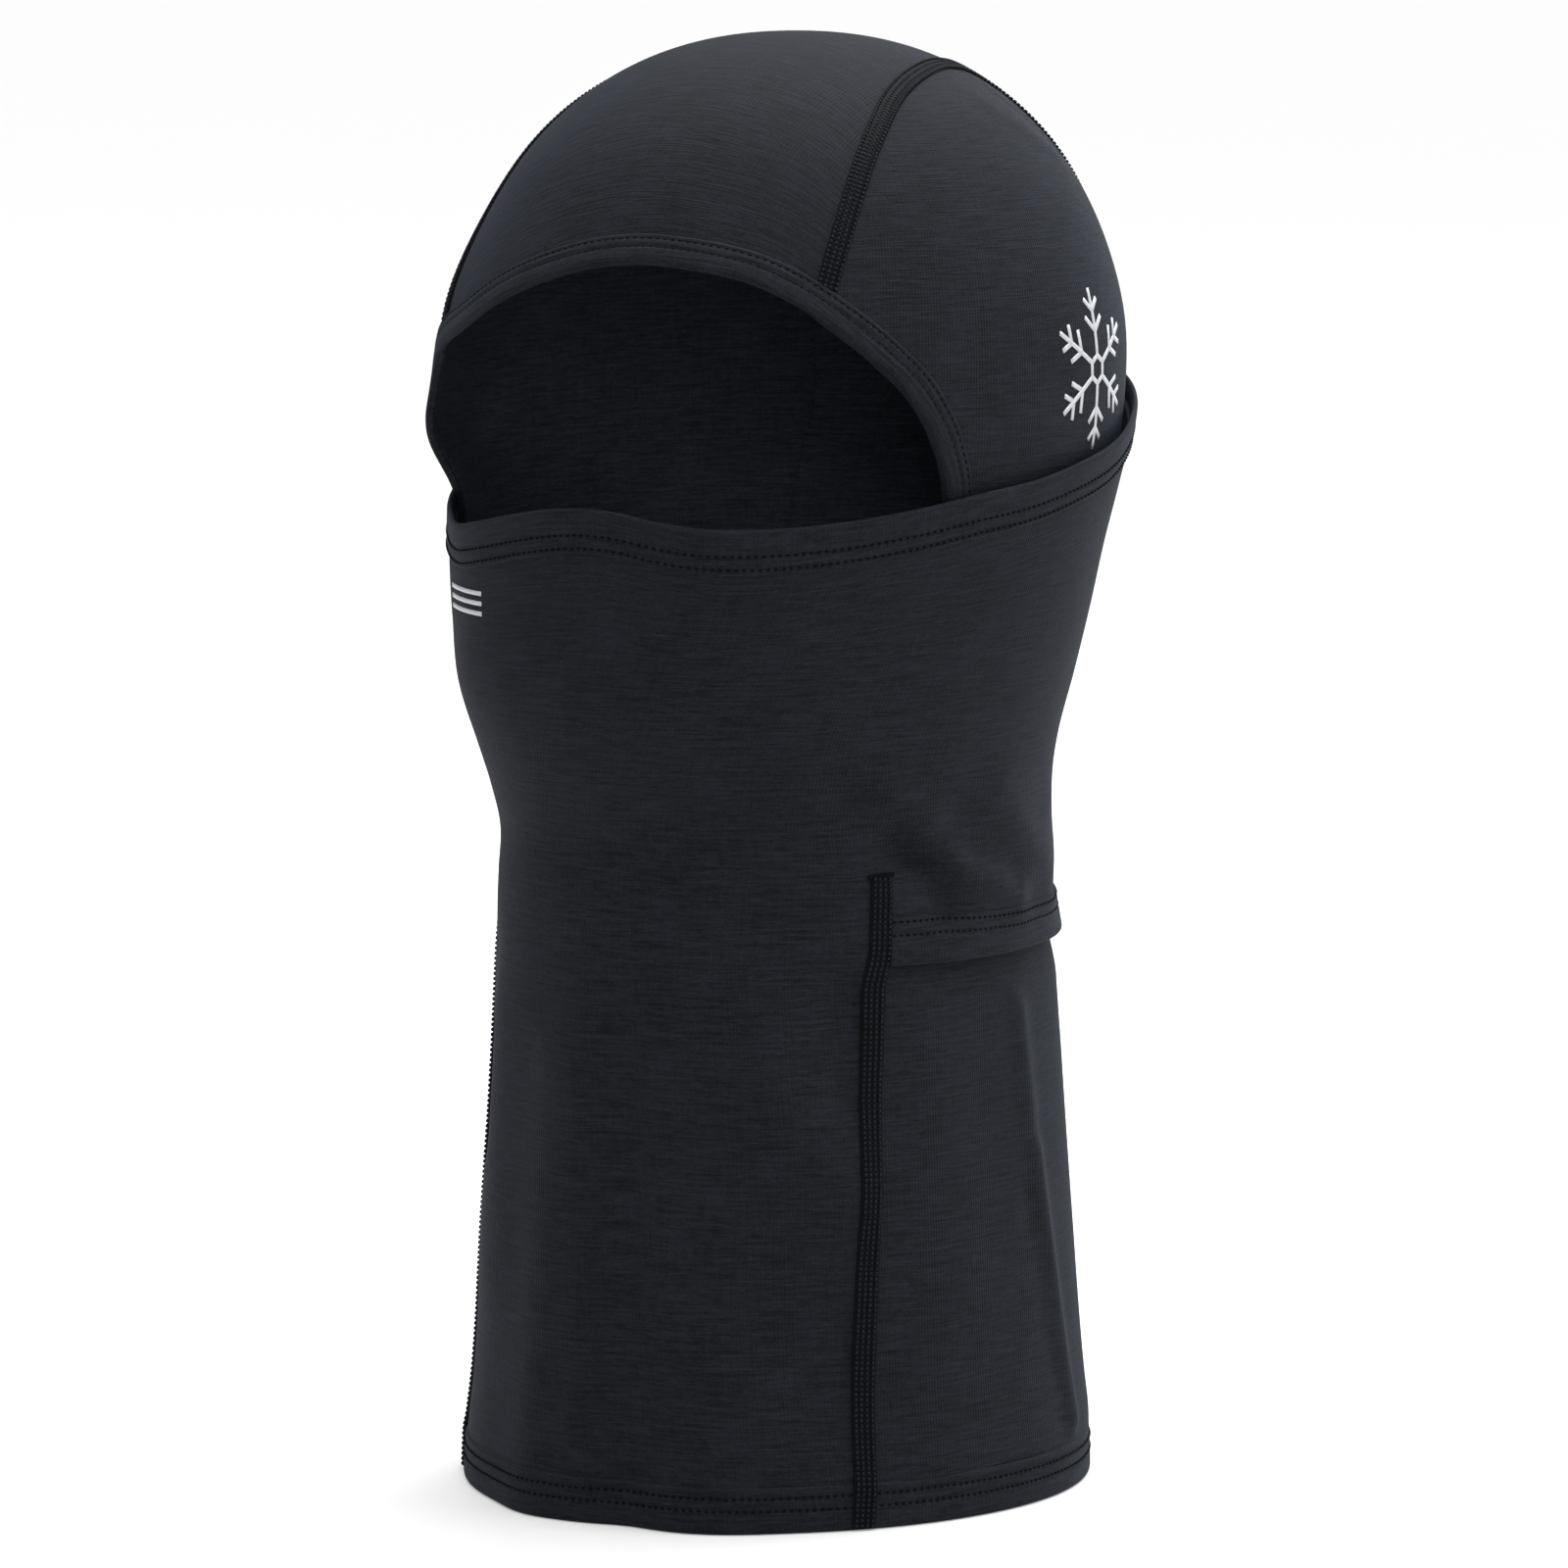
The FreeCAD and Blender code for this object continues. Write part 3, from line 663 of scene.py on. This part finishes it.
def weighted(tree, parts):
    """The sum of outputs, each times its weight."""
    total, *others = [math_node(tree, "MULTIPLY", value, weight) for value, weight in parts]
    for term in others:
        total = math_node(tree, "ADD", total, term)
    return total


def noise(tree, place, scale, detail, rough):
    """Noise over places that are first scaled along each axis."""
    mapping = tree.nodes.new("ShaderNodeMapping")
    fill(mapping, {"Scale": scale})
    tree.links.new(place, mapping.inputs["Vector"])
    node = tree.nodes.new("ShaderNodeTexNoise")
    fill(node, {"Scale": 1.0, "Detail": detail, "Roughness": rough})
    tree.links.new(mapping.outputs[0], node.inputs["Vector"])
    return node.outputs["Fac"]


def ramp(tree, value, stops):
    """A colour for each value, from stops of (value, colour)."""
    node = tree.nodes.new("ShaderNodeValToRGB")
    elements = node.color_ramp.elements
    for place, _ in stops[1:-1]:
        elements.new(place)
    for element, (place, colour) in zip(elements, stops):
        element.position = place
        element.color = (*colour, 1.0)
    tree.links.new(value, node.inputs[0])
    return node.outputs[0]


def bump(tree, shader, height, strength, depth):
    """Tilt a shader's normals by a height, as a relief of some strength and depth."""
    node = tree.nodes.new("ShaderNodeBump")
    fill(node, {"Strength": strength, "Distance": depth * MM})
    tree.links.new(height, node.inputs["Height"])
    tree.links.new(node.outputs[0], shader.inputs["Normal"])


def knit(name, dark, light):
    """Fine jersey: ribs up the cloth, slubs along its rows, and a soft mottled tone."""
    material, tree, shader = nodes_of(name)
    uv = tree.nodes.new("ShaderNodeUVMap")
    uv.uv_map = "knit"
    place = uv.outputs[0]
    layers = {layer: noise(tree, place, scale, detail, rough)
              for layer, (scale, detail, rough, _) in KNIT_LAYERS.items()}
    tone = weighted(tree, [(layers[layer], values[-1]) for layer, values in KNIT_LAYERS.items()])
    middle = tuple((a + b) / 2 for a, b in zip(dark, light))
    colour = ramp(tree, tone, list(zip(TONE_STOPS, (dark, middle, light))))
    tree.links.new(colour, shader.inputs["Base Color"])
    split = tree.nodes.new("ShaderNodeSeparateXYZ")
    tree.links.new(place, split.inputs[0])
    rib, row = (math_node(tree, "SINE", math_node(tree, "MULTIPLY", way, 2 * math.pi / (pitch * MM)))
                for way, pitch in zip(split.outputs, (RIB_PITCH, ROW_PITCH)))
    height = weighted(tree, [(rib, RIB_SHARE), (row, ROW_SHARE), (layers["slub"], SLUB_SHARE),
                             (layers["fibre"], FIBRE_SHARE)])
    bump(tree, shader, height, *KNIT_RELIEF)
    flecks = math_node(tree, "MULTIPLY", layers["fleck"], FLECK_ROUGHNESS)
    tree.links.new(math_node(tree, "ADD", flecks, ROUGHNESS), shader.inputs["Roughness"])
    fill(shader, KNIT_FINISH)
    return material


def grained(name, grain, stops, relief, finish):
    """A material whose colour and relief follow a fine grain of so many repeats per metre."""
    repeats, rough = grain
    material, tree, shader = nodes_of(name)
    place = tree.nodes.new("ShaderNodeTexCoord").outputs["Object"]
    grains = noise(tree, place, (repeats, repeats, repeats), 2.0, rough)
    tree.links.new(ramp(tree, grains, stops), shader.inputs["Base Color"])
    bump(tree, shader, grains, *relief)
    fill(shader, finish)
    return material


def thread(name, dark, light):
    """Matt polyester thread, with its twist."""
    return grained(name, (2600, 0.6), ((0.35, dark), (0.65, light)), THREAD_RELIEF, THREAD_FINISH)


def transfer(name, colour):
    """Silver heat transfer: a smooth film that takes on a little of the knit below it."""
    dull = tuple(DULL * c for c in colour)
    return grained(name, (1500, 0.5), ((0.35, dull), (0.62, colour)), FILM_RELIEF, FILM_FINISH)


KNIT = knit("jersey", (0.0019, 0.0022, 0.0031), (0.0088, 0.0103, 0.0142))
# The inside of the cloth: the same jersey painted some ten times lighter, as painted light for the inside of
# the hood and mask, where little lamp light reaches.
PAINTED_LIGHT_INSIDE = knit("jersey_inside_painted_light", (0.0195, 0.0218, 0.0285), (0.0470, 0.0525, 0.0680))
HEM_KNIT = knit("jersey_hem", (0.0019, 0.0023, 0.0032), (0.0089, 0.0104, 0.0143))
SEAM = thread("flatlock_ground", (0.0010, 0.0012, 0.0016), (0.0032, 0.0037, 0.0048))
# The knots are the seam's black thread painted lighter: painted highlight on the raised knots.
KNOTS_PAINTED_HIGHLIGHT = thread("flatlock_knots_painted_highlight", (0.0034, 0.0039, 0.0051), (0.0160, 0.0182, 0.0238))
STITCH = thread("stitch_thread", (0.0006, 0.0007, 0.0009), (0.0024, 0.0027, 0.0034))
SILVER = transfer("silver_transfer", (0.40, 0.41, 0.43))

# ---- which body each piece moves with ---
# ---- root pieces go with their body; hems and seams ---


def settle(thing, group, slot, *nodes):
    """Attach a piece to the root body when its group is root, else bake its transform, and hide the CAD
    nodes that it stands for. The slot is not used.
    """
    if group == "root":
        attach(thing, "root")
    elif group == "mask":
        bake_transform(thing)
    else:
        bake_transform(thing)
    if nodes:
        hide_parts(*nodes)


def twin_rows(name, surface, rows, close):
    """Rows of stitches along a hem, at the given depths from its edge."""
    made = []
    for row in rows:
        line, above = surface(row, SEAM_HEIGHT), surface(row, SEAM_HEIGHT + 1)
        made.append(stitches(line, above - line, COVER_STITCH, close))
    return thread_object(name, made, STITCH)


def hem(names, surface, size, rows, close, group, fold_nodes, stitch_nodes):
    """A folded hem of some width and thickness, and its rows of stitches."""
    fold, threads = names
    settle(band(fold, surface, hem_section(*size, rows), close), group, "hem", *fold_nodes)
    settle(twin_rows(threads, surface, rows, close), group, "thread", *stitch_nodes)


def flatlock(name, line, normals, half, sink, group, *nodes):
    """A flatlock seam and its knots. The name has a gap for what tells the knots apart."""
    settle(ribbon(name.format(""), line, normals, half, sink), group, "thread", *nodes)
    settle(ladder(name.format("_threads"), line, normals), group, "thread")


# ---- mask, wrap and front bib: one cloth ---

FRONT_COLUMNS, REAR_COLUMNS = 110, 200
LOW_ROWS, LEVEL_ROWS, CLIMBING_ROWS = 66, 40, 48
FLAP_LINE = FLAP_FOOT + 6  # behind the side seams the cloth starts here, inside the flap's hem
LEVEL_TOP = 205.0  # rows are level up to here, and then follow the mask's edge
GRID_TOP = 300  # where the last row would be if they were level
CLOTH_END = 5.0  # the cloth ends inside the hem, this far below its edge
heights = np.concatenate([
    np.linspace(CLOTH_FOOT, FLAP_LINE, LOW_ROWS, endpoint=False),
    np.linspace(FLAP_LINE, LEVEL_TOP, LEVEL_ROWS, endpoint=False),
    np.linspace(LEVEL_TOP, GRID_TOP, CLIMBING_ROWS),
])
front_share = np.linspace(0, 1, FRONT_COLUMNS, endpoint=False)
rear_share = np.linspace(0, 1, REAR_COLUMNS, endpoint=False)
grid_z, grid_phi = [], []
for height in heights:
    left, right = (float(seam_phi(min(height, TACK_Z), sign)) for sign in (1, -1))
    phi = np.concatenate([front_share * (left + right) - right, left + rear_share * (360 - left - right)])
    climb = max(0.0, (height - LEVEL_TOP) / (GRID_TOP - LEVEL_TOP))
    grid_z.append(min(height, LEVEL_TOP) + climb * (mask_edge(phi) - CLOTH_END - LEVEL_TOP))
    grid_phi.append(phi)
outer_points = outer(np.array(grid_phi), np.array(grid_z))


def in_mask_cloth(face, columns):
    """Whether the cloth has this face: it is open behind the side seams, below the flap."""
    row, column = divmod(face[0], columns)
    return column < FRONT_COLUMNS or row >= LOW_ROWS


settle(cloth("mask_and_front_bib", outer_points, in_mask_cloth, close=True), "mask", "knit",
       "front_bib", "mask_front_panel", "wrap_panel_left", "wrap_panel_right")

# ---- the mask's upper hem ------------

MASK_ROWS = (6.7, 10.0)
MASK_HEM = (11.4, 0.8)  # width and thickness
STAND_OFF, STAND_OFF_DEPTH = 0.25, 12  # how far its edge stands off, and down to what depth
RING_POINTS = 540
ring_phi = np.linspace(-180, 180, RING_POINTS, endpoint=False)


def mask_hem_surface(depth, height):
    """The mask's hem at a depth from its edge, raised by height."""
    z = mask_edge(ring_phi) - depth
    stand_off = STAND_OFF * (1 - depth / STAND_OFF_DEPTH)
    return outer(ring_phi, z) + normal_of(outer, ring_phi, z) * (height + stand_off)


hem(("mask_upper_hem", "mask_upper_stitches"), mask_hem_surface, MASK_HEM, MASK_ROWS, True, "mask",
    ("mask_front_hem", "wrap_hem"), ("mask_front_coverstitch", "wrap_coverstitch"))

# ---- the flap's lower hem, behind the side seams ---

FLAP_ROWS = (7.6, 10.9)
FLAP_HEM = (12.4, 1.0)
FLAP_CAUGHT = FLAP_FOOT + 4  # the height at which the seams hold its ends
FLAP_LIFT = 2.2  # the cloth of the flap draws up a little
FLAP_DRAW = 0.12  # and its hem is narrower by this share away from the seams
FLAP_START = 2.1  # degrees from the middle of the side seam to the end of the flap's hem
FLAP_ENDS = 14  # the ends that the seams hold down are each one part in so many of its length
FLARE, FREE_FLARE = 0.35, 1.3  # how far its edge stands off at the seams, and how much more between
FLAP_POINTS = 360
flap_share = np.linspace(0, 1, FLAP_POINTS)


def flap_surface(depth, height):
    """The flap's hem at a depth from its edge, raised by height."""
    left, right = (float(seam_phi(FLAP_CAUGHT, sign)) + FLAP_START for sign in (1, -1))
    phi = left + flap_share * (360 - left - right)
    ends = np.minimum(flap_share, 1 - flap_share) * FLAP_ENDS
    z = FLAP_FOOT + FLAP_LIFT + depth * (1 - FLAP_DRAW * smoothstep(ends / 2))
    flare = (FLARE + FREE_FLARE * smoothstep(ends)) * (1 - depth / FLAP_HEM[0])
    return outer(phi, z) + normal_of(outer, phi, z) * (height + flare)[:, None]


hem(("flap_lower_hem", "flap_lower_stitches"), flap_surface, FLAP_HEM, FLAP_ROWS, False, "root",
    ("flap_hem",), ("flap_hem_coverstitch",))

# ---- bottom hem ----------------------

BOTTOM_ROWS = (5.8, 8.9)
BOTTOM_HEM = (HEM_TOP - 0.4, 0.75)
BOTTOM_EDGE = 0.15  # height of its edge


def bottom_surface(depth, height):
    """The bottom hem at a depth from its edge, raised by height."""
    z = np.full_like(ring_phi, depth + BOTTOM_EDGE)
    return outer(ring_phi, z) + normal_of(outer, ring_phi, z) * height


hem(("bottom_hem_fold", "bottom_hem_stitches"), bottom_surface, BOTTOM_HEM, BOTTOM_ROWS, True, "root",
    ("bottom_hem",), ("bottom_hem_coverstitch",))

# ---- hood: crown strip, side panels, seams ---

SIDES = (("left", 1), ("right", -1))
STRIP_COLUMNS = 61
OVER_ROWS, DOWN_ROWS = 130, 130
STRIP_EDGE = 1.02  # the strip's edges lie under the seams, at this share of its half width
shares = np.linspace(-STRIP_EDGE, STRIP_EDGE, STRIP_COLUMNS)
strip_points = np.stack([strip_column(share, OVER_ROWS, DOWN_ROWS) for share in shares], axis=1)
settle(cloth("crown_and_back_strip", strip_points), "hood", "knit", "crown_strip", "neck_back_strip")

RIM_OVER, RIM_DOWN, RIM_FRONT = 200, 160, 120  # points of a rim over the crown, behind and in front
RIMS_MATCH = 240.0  # the height at which the two rims are matched
RIM_ABOVE, RIM_BELOW = 90, 110  # points of a matched rim above and below that height
PANEL_COLUMNS = 70
TIP_ROWS = 5  # rows left out at a panel's tip, which lies under the hem and the seam
SEAM_FOOT = 2.4  # the crown seam starts this far up its line, where the face hem's end lies


def line_normals(line):
    """The normals of the inner layer along a line on it."""
    return onto_inner(line)[1]


def side_rims(sign):
    """The front and rear rims of a side panel, from the brow down, matched at the mask's height."""
    rear = strip_column(sign, RIM_OVER, RIM_DOWN)
    face = face_line if sign > 0 else face_line[::-1]
    face = face[int(np.argmin(np.linalg.norm(face - rear[0], axis=1))):]
    z = np.linspace(face[-1, 2], CLOTH_FOOT, RIM_FRONT)[1:]
    front = np.vstack([rear[:1], face[1:], inner(sign * seam_phi(z, sign), z)])
    rims = []
    for rim in (front, rear):
        split = int(np.argmax(rim[:, 2] < RIMS_MATCH))
        rims.append(np.vstack([even(rim[:split + 1], RIM_ABOVE), even(rim[split:], RIM_BELOW)[1:]]))
    return rims


def wrap_uvs(points):
    """Distances round the head and up the cloth, so that the slubs lie level on a side panel."""
    y, z = points[..., 1] - lean(points[..., 2]), points[..., 2]
    turn = np.arctan2(points[..., 0] / DOME_WIDTH, -y / DOME_DEPTH)
    rise = np.clip((z - HINGE_Z) / DOME, 0, 1)
    return np.stack([turn * DOME_DEPTH, np.minimum(z, HINGE_Z) + DOME * np.arcsin(rise)], axis=-1)


SIDE_SEAM_FOOT, SIDE_SEAM_POINTS = 0.6, 240
BELOW_TACK = 0.2  # the side seam ends this far below the tack's line
SEAM_LIFT = 0.25  # of the side seam off the cloth
HEM_LIFT, HEM_RAMP = 0.55, 6  # how much more it lifts over the bottom hem, and over what height
RAMP_TOP = HEM_TOP + 4  # it starts to lift here
TACK_HALF, TACK_POINTS = 3.0, 30  # half width in degrees
TACK_ROWS, TACK_STEP = 2, 0.42  # its rows, and how far apart they are
TACK_BOW, TACK_LIFT = 0.10, 0.7  # how its ends droop, and how high it lies
for side, sign in SIDES:
    front_rim, rear_rim = side_rims(sign)
    share = np.linspace(0, 1, PANEL_COLUMNS)[None, :, None]
    chords = front_rim[:, None] * (1 - share) + rear_rim[:, None] * share
    panel = onto_inner(chords)[0][TIP_ROWS:]
    settle(cloth(f"hood_and_neck_{side}", panel, uvs=wrap_uvs(panel)), "hood", "knit",
           f"hood_side_{side}", f"neck_side_{side}")

    seam_line = rear_rim[lengths_along(rear_rim) > SEAM_FOOT]
    normals = line_normals(seam_line)
    flatlock("crown_flatlock{}_" + side, seam_line, normals, SEAM_HALF, SEAM_SINK, "hood",
             f"crown_seam_{side}", f"neck_seam_{side}")

    z = np.linspace(SIDE_SEAM_FOOT, TACK_Z - BELOW_TACK, SIDE_SEAM_POINTS)
    phi = sign * seam_phi(z, sign)
    normals = normal_of(outer, phi, z)
    lift = (SEAM_LIFT + HEM_LIFT * smoothstep((RAMP_TOP - z) / HEM_RAMP))[:, None]
    proud = np.maximum(0, ((inner(phi, z) - outer(phi, z)) * normals).sum(axis=1))
    seam_line = outer(phi, z) + normals * (lift + proud[:, None])
    flatlock("side_flatlock{}_" + side, seam_line, normals, SIDE_SEAM_HALF, SIDE_SEAM_SINK, "root",
             f"side_seam_{side}")

    tack_phi = sign * (float(seam_phi(TACK_Z, sign)) + np.linspace(-TACK_HALF, TACK_HALF, TACK_POINTS))
    bow = TACK_BOW * (tack_phi - tack_phi.mean()) ** 2 / TACK_HALF
    rows = []
    for step in range(TACK_ROWS):
        z = np.full_like(tack_phi, TACK_Z + TACK_STEP * step) - bow
        normals = normal_of(outer, tack_phi, z)
        rows.append(stitches(outer(tack_phi, z) + normals * TACK_LIFT, normals, TACK_STITCH))
    settle(thread_object(f"bartack_{side}_threads", rows, STITCH), "root", "thread", f"bartack_{side}")

# ---- face opening hem ----------------

FACE_ROWS = (4.7, 7.1)
FACE_HEM = (8.4, 1.25)
face_normals = line_normals(face_line)
face_tangent = np.gradient(face_line, axis=0)
into_hood = np.cross(face_tangent, face_normals)
into_hood /= np.linalg.norm(into_hood, axis=1, keepdims=True)
if into_hood[len(into_hood) // 2, 2] < 0:
    into_hood = -into_hood


def face_surface(depth, height):
    """The hem of the face opening at a depth from its edge, raised by height."""
    return onto_inner(face_line + into_hood * depth, height)[0]


hem(("face_opening_hem", "face_opening_stitches"), face_surface, FACE_HEM, FACE_ROWS, False, "hood",
    ("face_hem", "face_hem_leg_left", "face_hem_leg_right"), ("face_hem_coverstitch",))

# ---- the mask's own seam behind the head ---

BACK_SEAM_FOOT, BACK_SEAM_POINTS = FLAP_FOOT + 9, 160
BACK_SEAM_LIFT = 0.2
z = np.linspace(BACK_SEAM_FOOT, top_of("wrap_back_seam"), BACK_SEAM_POINTS)
phi = np.full_like(z, 180.0)
normals = normal_of(outer, phi, z)
seam_line = outer(phi, z) + normals * BACK_SEAM_LIFT
flatlock("mask_back_flatlock{}", seam_line, normals, SEAM_HALF, SEAM_SINK, "root", "wrap_back_seam")

# ---- silver prints: snow crystals and cheek bars ---

MARK_CENTRE = (22.0, 284.0)
MARK_WIDTH = 0.999  # the crystal's width as a share of its height
MARK_LINE = 0.6  # half width of its lines
MARK_ARM, MARK_RING = 20.0, 3.5  # how far its arms reach, and where they start
MARK_BRANCHES = ((9.5, 4.4), (14.5, 3.6))  # place along the arm, and reach to each side
BRANCH_SLANT = 0.8  # reach of a branch along the arm, as a share of its reach aside
STROKE_STEP = 1.5  # between points of a stroke
FILM = ((1, 0.16), (-1, 0.16), (-1, -0.2), (1, -0.2))  # the film's corners: side and height
LEAST = 0.01  # keeps the root real at the dome's outline
CHEEK_PHI, CHEEK_Z = -31.5, 227.8
CHEEK_DEGREE = 1.45  # length of one degree round the cheek
BAR_REACH, BAR_PITCH, BAR_LINE = 13.0, 2.5, 0.55  # half length, pitch and half width of the bars


def spoke(k):
    """The direction of the crystal's arm k."""
    turn = math.radians(60 * k + 30)
    return np.array([math.cos(turn), math.sin(turn)])


def strokes_of_crystal():
    """Lines of a six-armed crystal in its own plane."""
    lines = []
    for k in range(6):
        arm = spoke(k)
        across = np.array([-arm[1], arm[0]])
        lines.append((arm * MARK_RING, arm * MARK_ARM))
        for out, reach in MARK_BRANCHES:
            for way in (-1, 1):
                lines.append((arm * out, arm * (out + reach * BRANCH_SLANT) + across * way * reach))
    corners = [MARK_RING * spoke(k) for k in range(7)]
    return lines + list(zip(corners, corners[1:]))


def print_strokes(name, strokes, place, half):
    """Thin films over strokes in a flat drawing, laid on the cloth by place(points)."""
    points, faces = [], []
    for start, end in strokes:
        way = (end - start) / np.linalg.norm(end - start)
        side = np.array([-way[1], way[0]]) * half
        count = max(3, int(np.linalg.norm(end - start) / STROKE_STEP))
        spots = start + np.linspace(0, 1, count)[:, None] * (end - start)
        ring = np.arange(4 * count).reshape(4, count) + len(points)
        for edge, height in FILM:
            points += list(place(spots + side * edge, height))
        for k in range(4):
            for j in range(count - 1):
                faces.append((ring[k, j], ring[(k + 1) % 4, j], ring[(k + 1) % 4, j + 1], ring[k, j + 1]))
        faces += [ring[:, 0], ring[::-1, -1]]
    return shell(name, np.array(points), faces, SILVER)


def on_side(sign):
    """What lays the crystal's drawing on one side of the hood."""
    def place(flat, height):
        """Points of the drawing, raised by height."""
        y, z = MARK_CENTRE[0] + flat[:, 0] * MARK_WIDTH, MARK_CENTRE[1] + flat[:, 1]
        rise = np.clip(np.abs(z - HINGE_Z) / DOME, 0, 1)
        level = (1 - rise**SQUARE) ** (1 / SQUARE)
        x = sign * DOME_WIDTH * np.sqrt(np.clip(level**2 - (y / DOME_DEPTH) ** 2, LEAST, 1))
        return onto_inner(np.stack([x, y, z], axis=1), height)[0]
    return place


for side, sign in SIDES:
    crystal = print_strokes(f"snow_crystal_{side}", strokes_of_crystal(), on_side(sign), MARK_LINE)
    settle(crystal, "hood", "print", f"reflective_mark_{side}")


def on_cheek(flat, height):
    """Points of a flat drawing, laid on the right cheek."""
    phi, z = flat[:, 0] / CHEEK_DEGREE + CHEEK_PHI, flat[:, 1] + CHEEK_Z
    return outer(phi, z) + normal_of(outer, phi, z) * height


bars = [(np.array([-BAR_REACH, BAR_PITCH * k]), np.array([BAR_REACH, BAR_PITCH * k])) for k in (-1, 0, 1)]
settle(print_strokes("cheek_bars", bars, on_cheek, BAR_LINE), "mask", "print", "cheek_badge")

# ---- floor, light and camera ---------

FLOOR_SIZE = 30
FLOOR_FINISH = {"Base Color": (0.50, 0.50, 0.50, 1), "Roughness": 0.9, "Specular IOR Level": 0.1,
                "Emission Color": (1, 1, 1, 1), "Emission Strength": 0.22}
bpy.ops.mesh.primitive_plane_add(size=FLOOR_SIZE)
floor = bpy.context.object
floor.name = "floor"
floor_material, _, floor_shader = nodes_of("floor")
fill(floor_shader, FLOOR_FINISH)
floor.data.materials.append(floor_material)

SKY = ((0.45, (0.05, 0.05, 0.05)), (0.95, (1.0, 1.0, 1.0)))  # dim at the sides, bright overhead
SKY_STRENGTH = 3.0
world = bpy.data.worlds.new("studio")
world.use_nodes = True
sky = world.node_tree
direction = sky.nodes.new("ShaderNodeTexCoord").outputs["Generated"]
height = sky.nodes.new("ShaderNodeSeparateXYZ")
sky.links.new(direction, height.inputs[0])
background = sky.nodes["Background"]
sky.links.new(ramp(sky, height.outputs[2], SKY), background.inputs[0])
background.inputs[1].default_value = SKY_STRENGTH
bpy.context.scene.world = world

AZIMUTH, ELEVATION = math.radians(35), math.radians(7)
back = Vector((math.sin(AZIMUTH) * math.cos(ELEVATION), -math.cos(AZIMUTH) * math.cos(ELEVATION),
               math.sin(ELEVATION)))
right = Vector((math.cos(AZIMUTH), math.sin(AZIMUTH), 0))
up = back.cross(right)


MIDDLE = Vector((0, 0, 0.2))
LAMPS = (  # name, place to the right, up and towards the camera, size, power
    ("top", (0.45, 2.15, -0.45), 1.5, 66),
    ("side", (2.2, 0.4, 0.3), 1.0, 17.5),
    ("front", (0.1, 0.25, 2.4), 1.0, 14.5),
    ("key", (1.5, 1.6, 0.7), 1.0, 12),
    ("left", (-2.2, 0.0, 0.9), 0.6, 3.0),
    ("left_rim", (-1.4, 0.6, -0.8), 0.9, 1.4),
    ("rear", (1.0, 0.7, -1.8), 1.0, 7),
)


def softbox(name, place, size, power):
    """A round soft lamp that looks at the middle of the object."""
    lamp = bpy.data.lights.new(name, "AREA")
    lamp.shape = "DISK"
    lamp.size = size
    lamp.energy = power
    thing = bpy.data.objects.new(name, lamp)
    thing.location = place
    thing.rotation_euler = (MIDDLE - place).to_track_quat("-Z", "Y").to_euler()
    bpy.context.collection.objects.link(thing)


for name, (to_right, to_top, to_camera), size, power in LAMPS:
    softbox(name, MIDDLE + right * to_right + up * to_top + back * to_camera, size, power)

DISTANCE, VIEW_WIDTH = 2.2, 0.398
SENSOR = 36
FAR = 50  # past the floor's far edge
AIM_HEIGHT, AIM_DOWN, AIM_RIGHT = 0.187, 0.0105, 0.0003
aim = Vector((0, 0, AIM_HEIGHT)) - up * AIM_DOWN + right * AIM_RIGHT
camera_data = bpy.data.cameras.new("camera")
camera_data.sensor_width = SENSOR
camera_data.lens = SENSOR * DISTANCE / VIEW_WIDTH
camera_data.clip_end = FAR
camera = bpy.data.objects.new("camera", camera_data)
camera.location = aim + back * DISTANCE
camera.rotation_euler = back.to_track_quat("Z", "Y").to_euler()
bpy.context.collection.objects.link(camera)
bpy.context.scene.camera = camera
bpy.context.scene.view_settings.view_transform = "Standard"
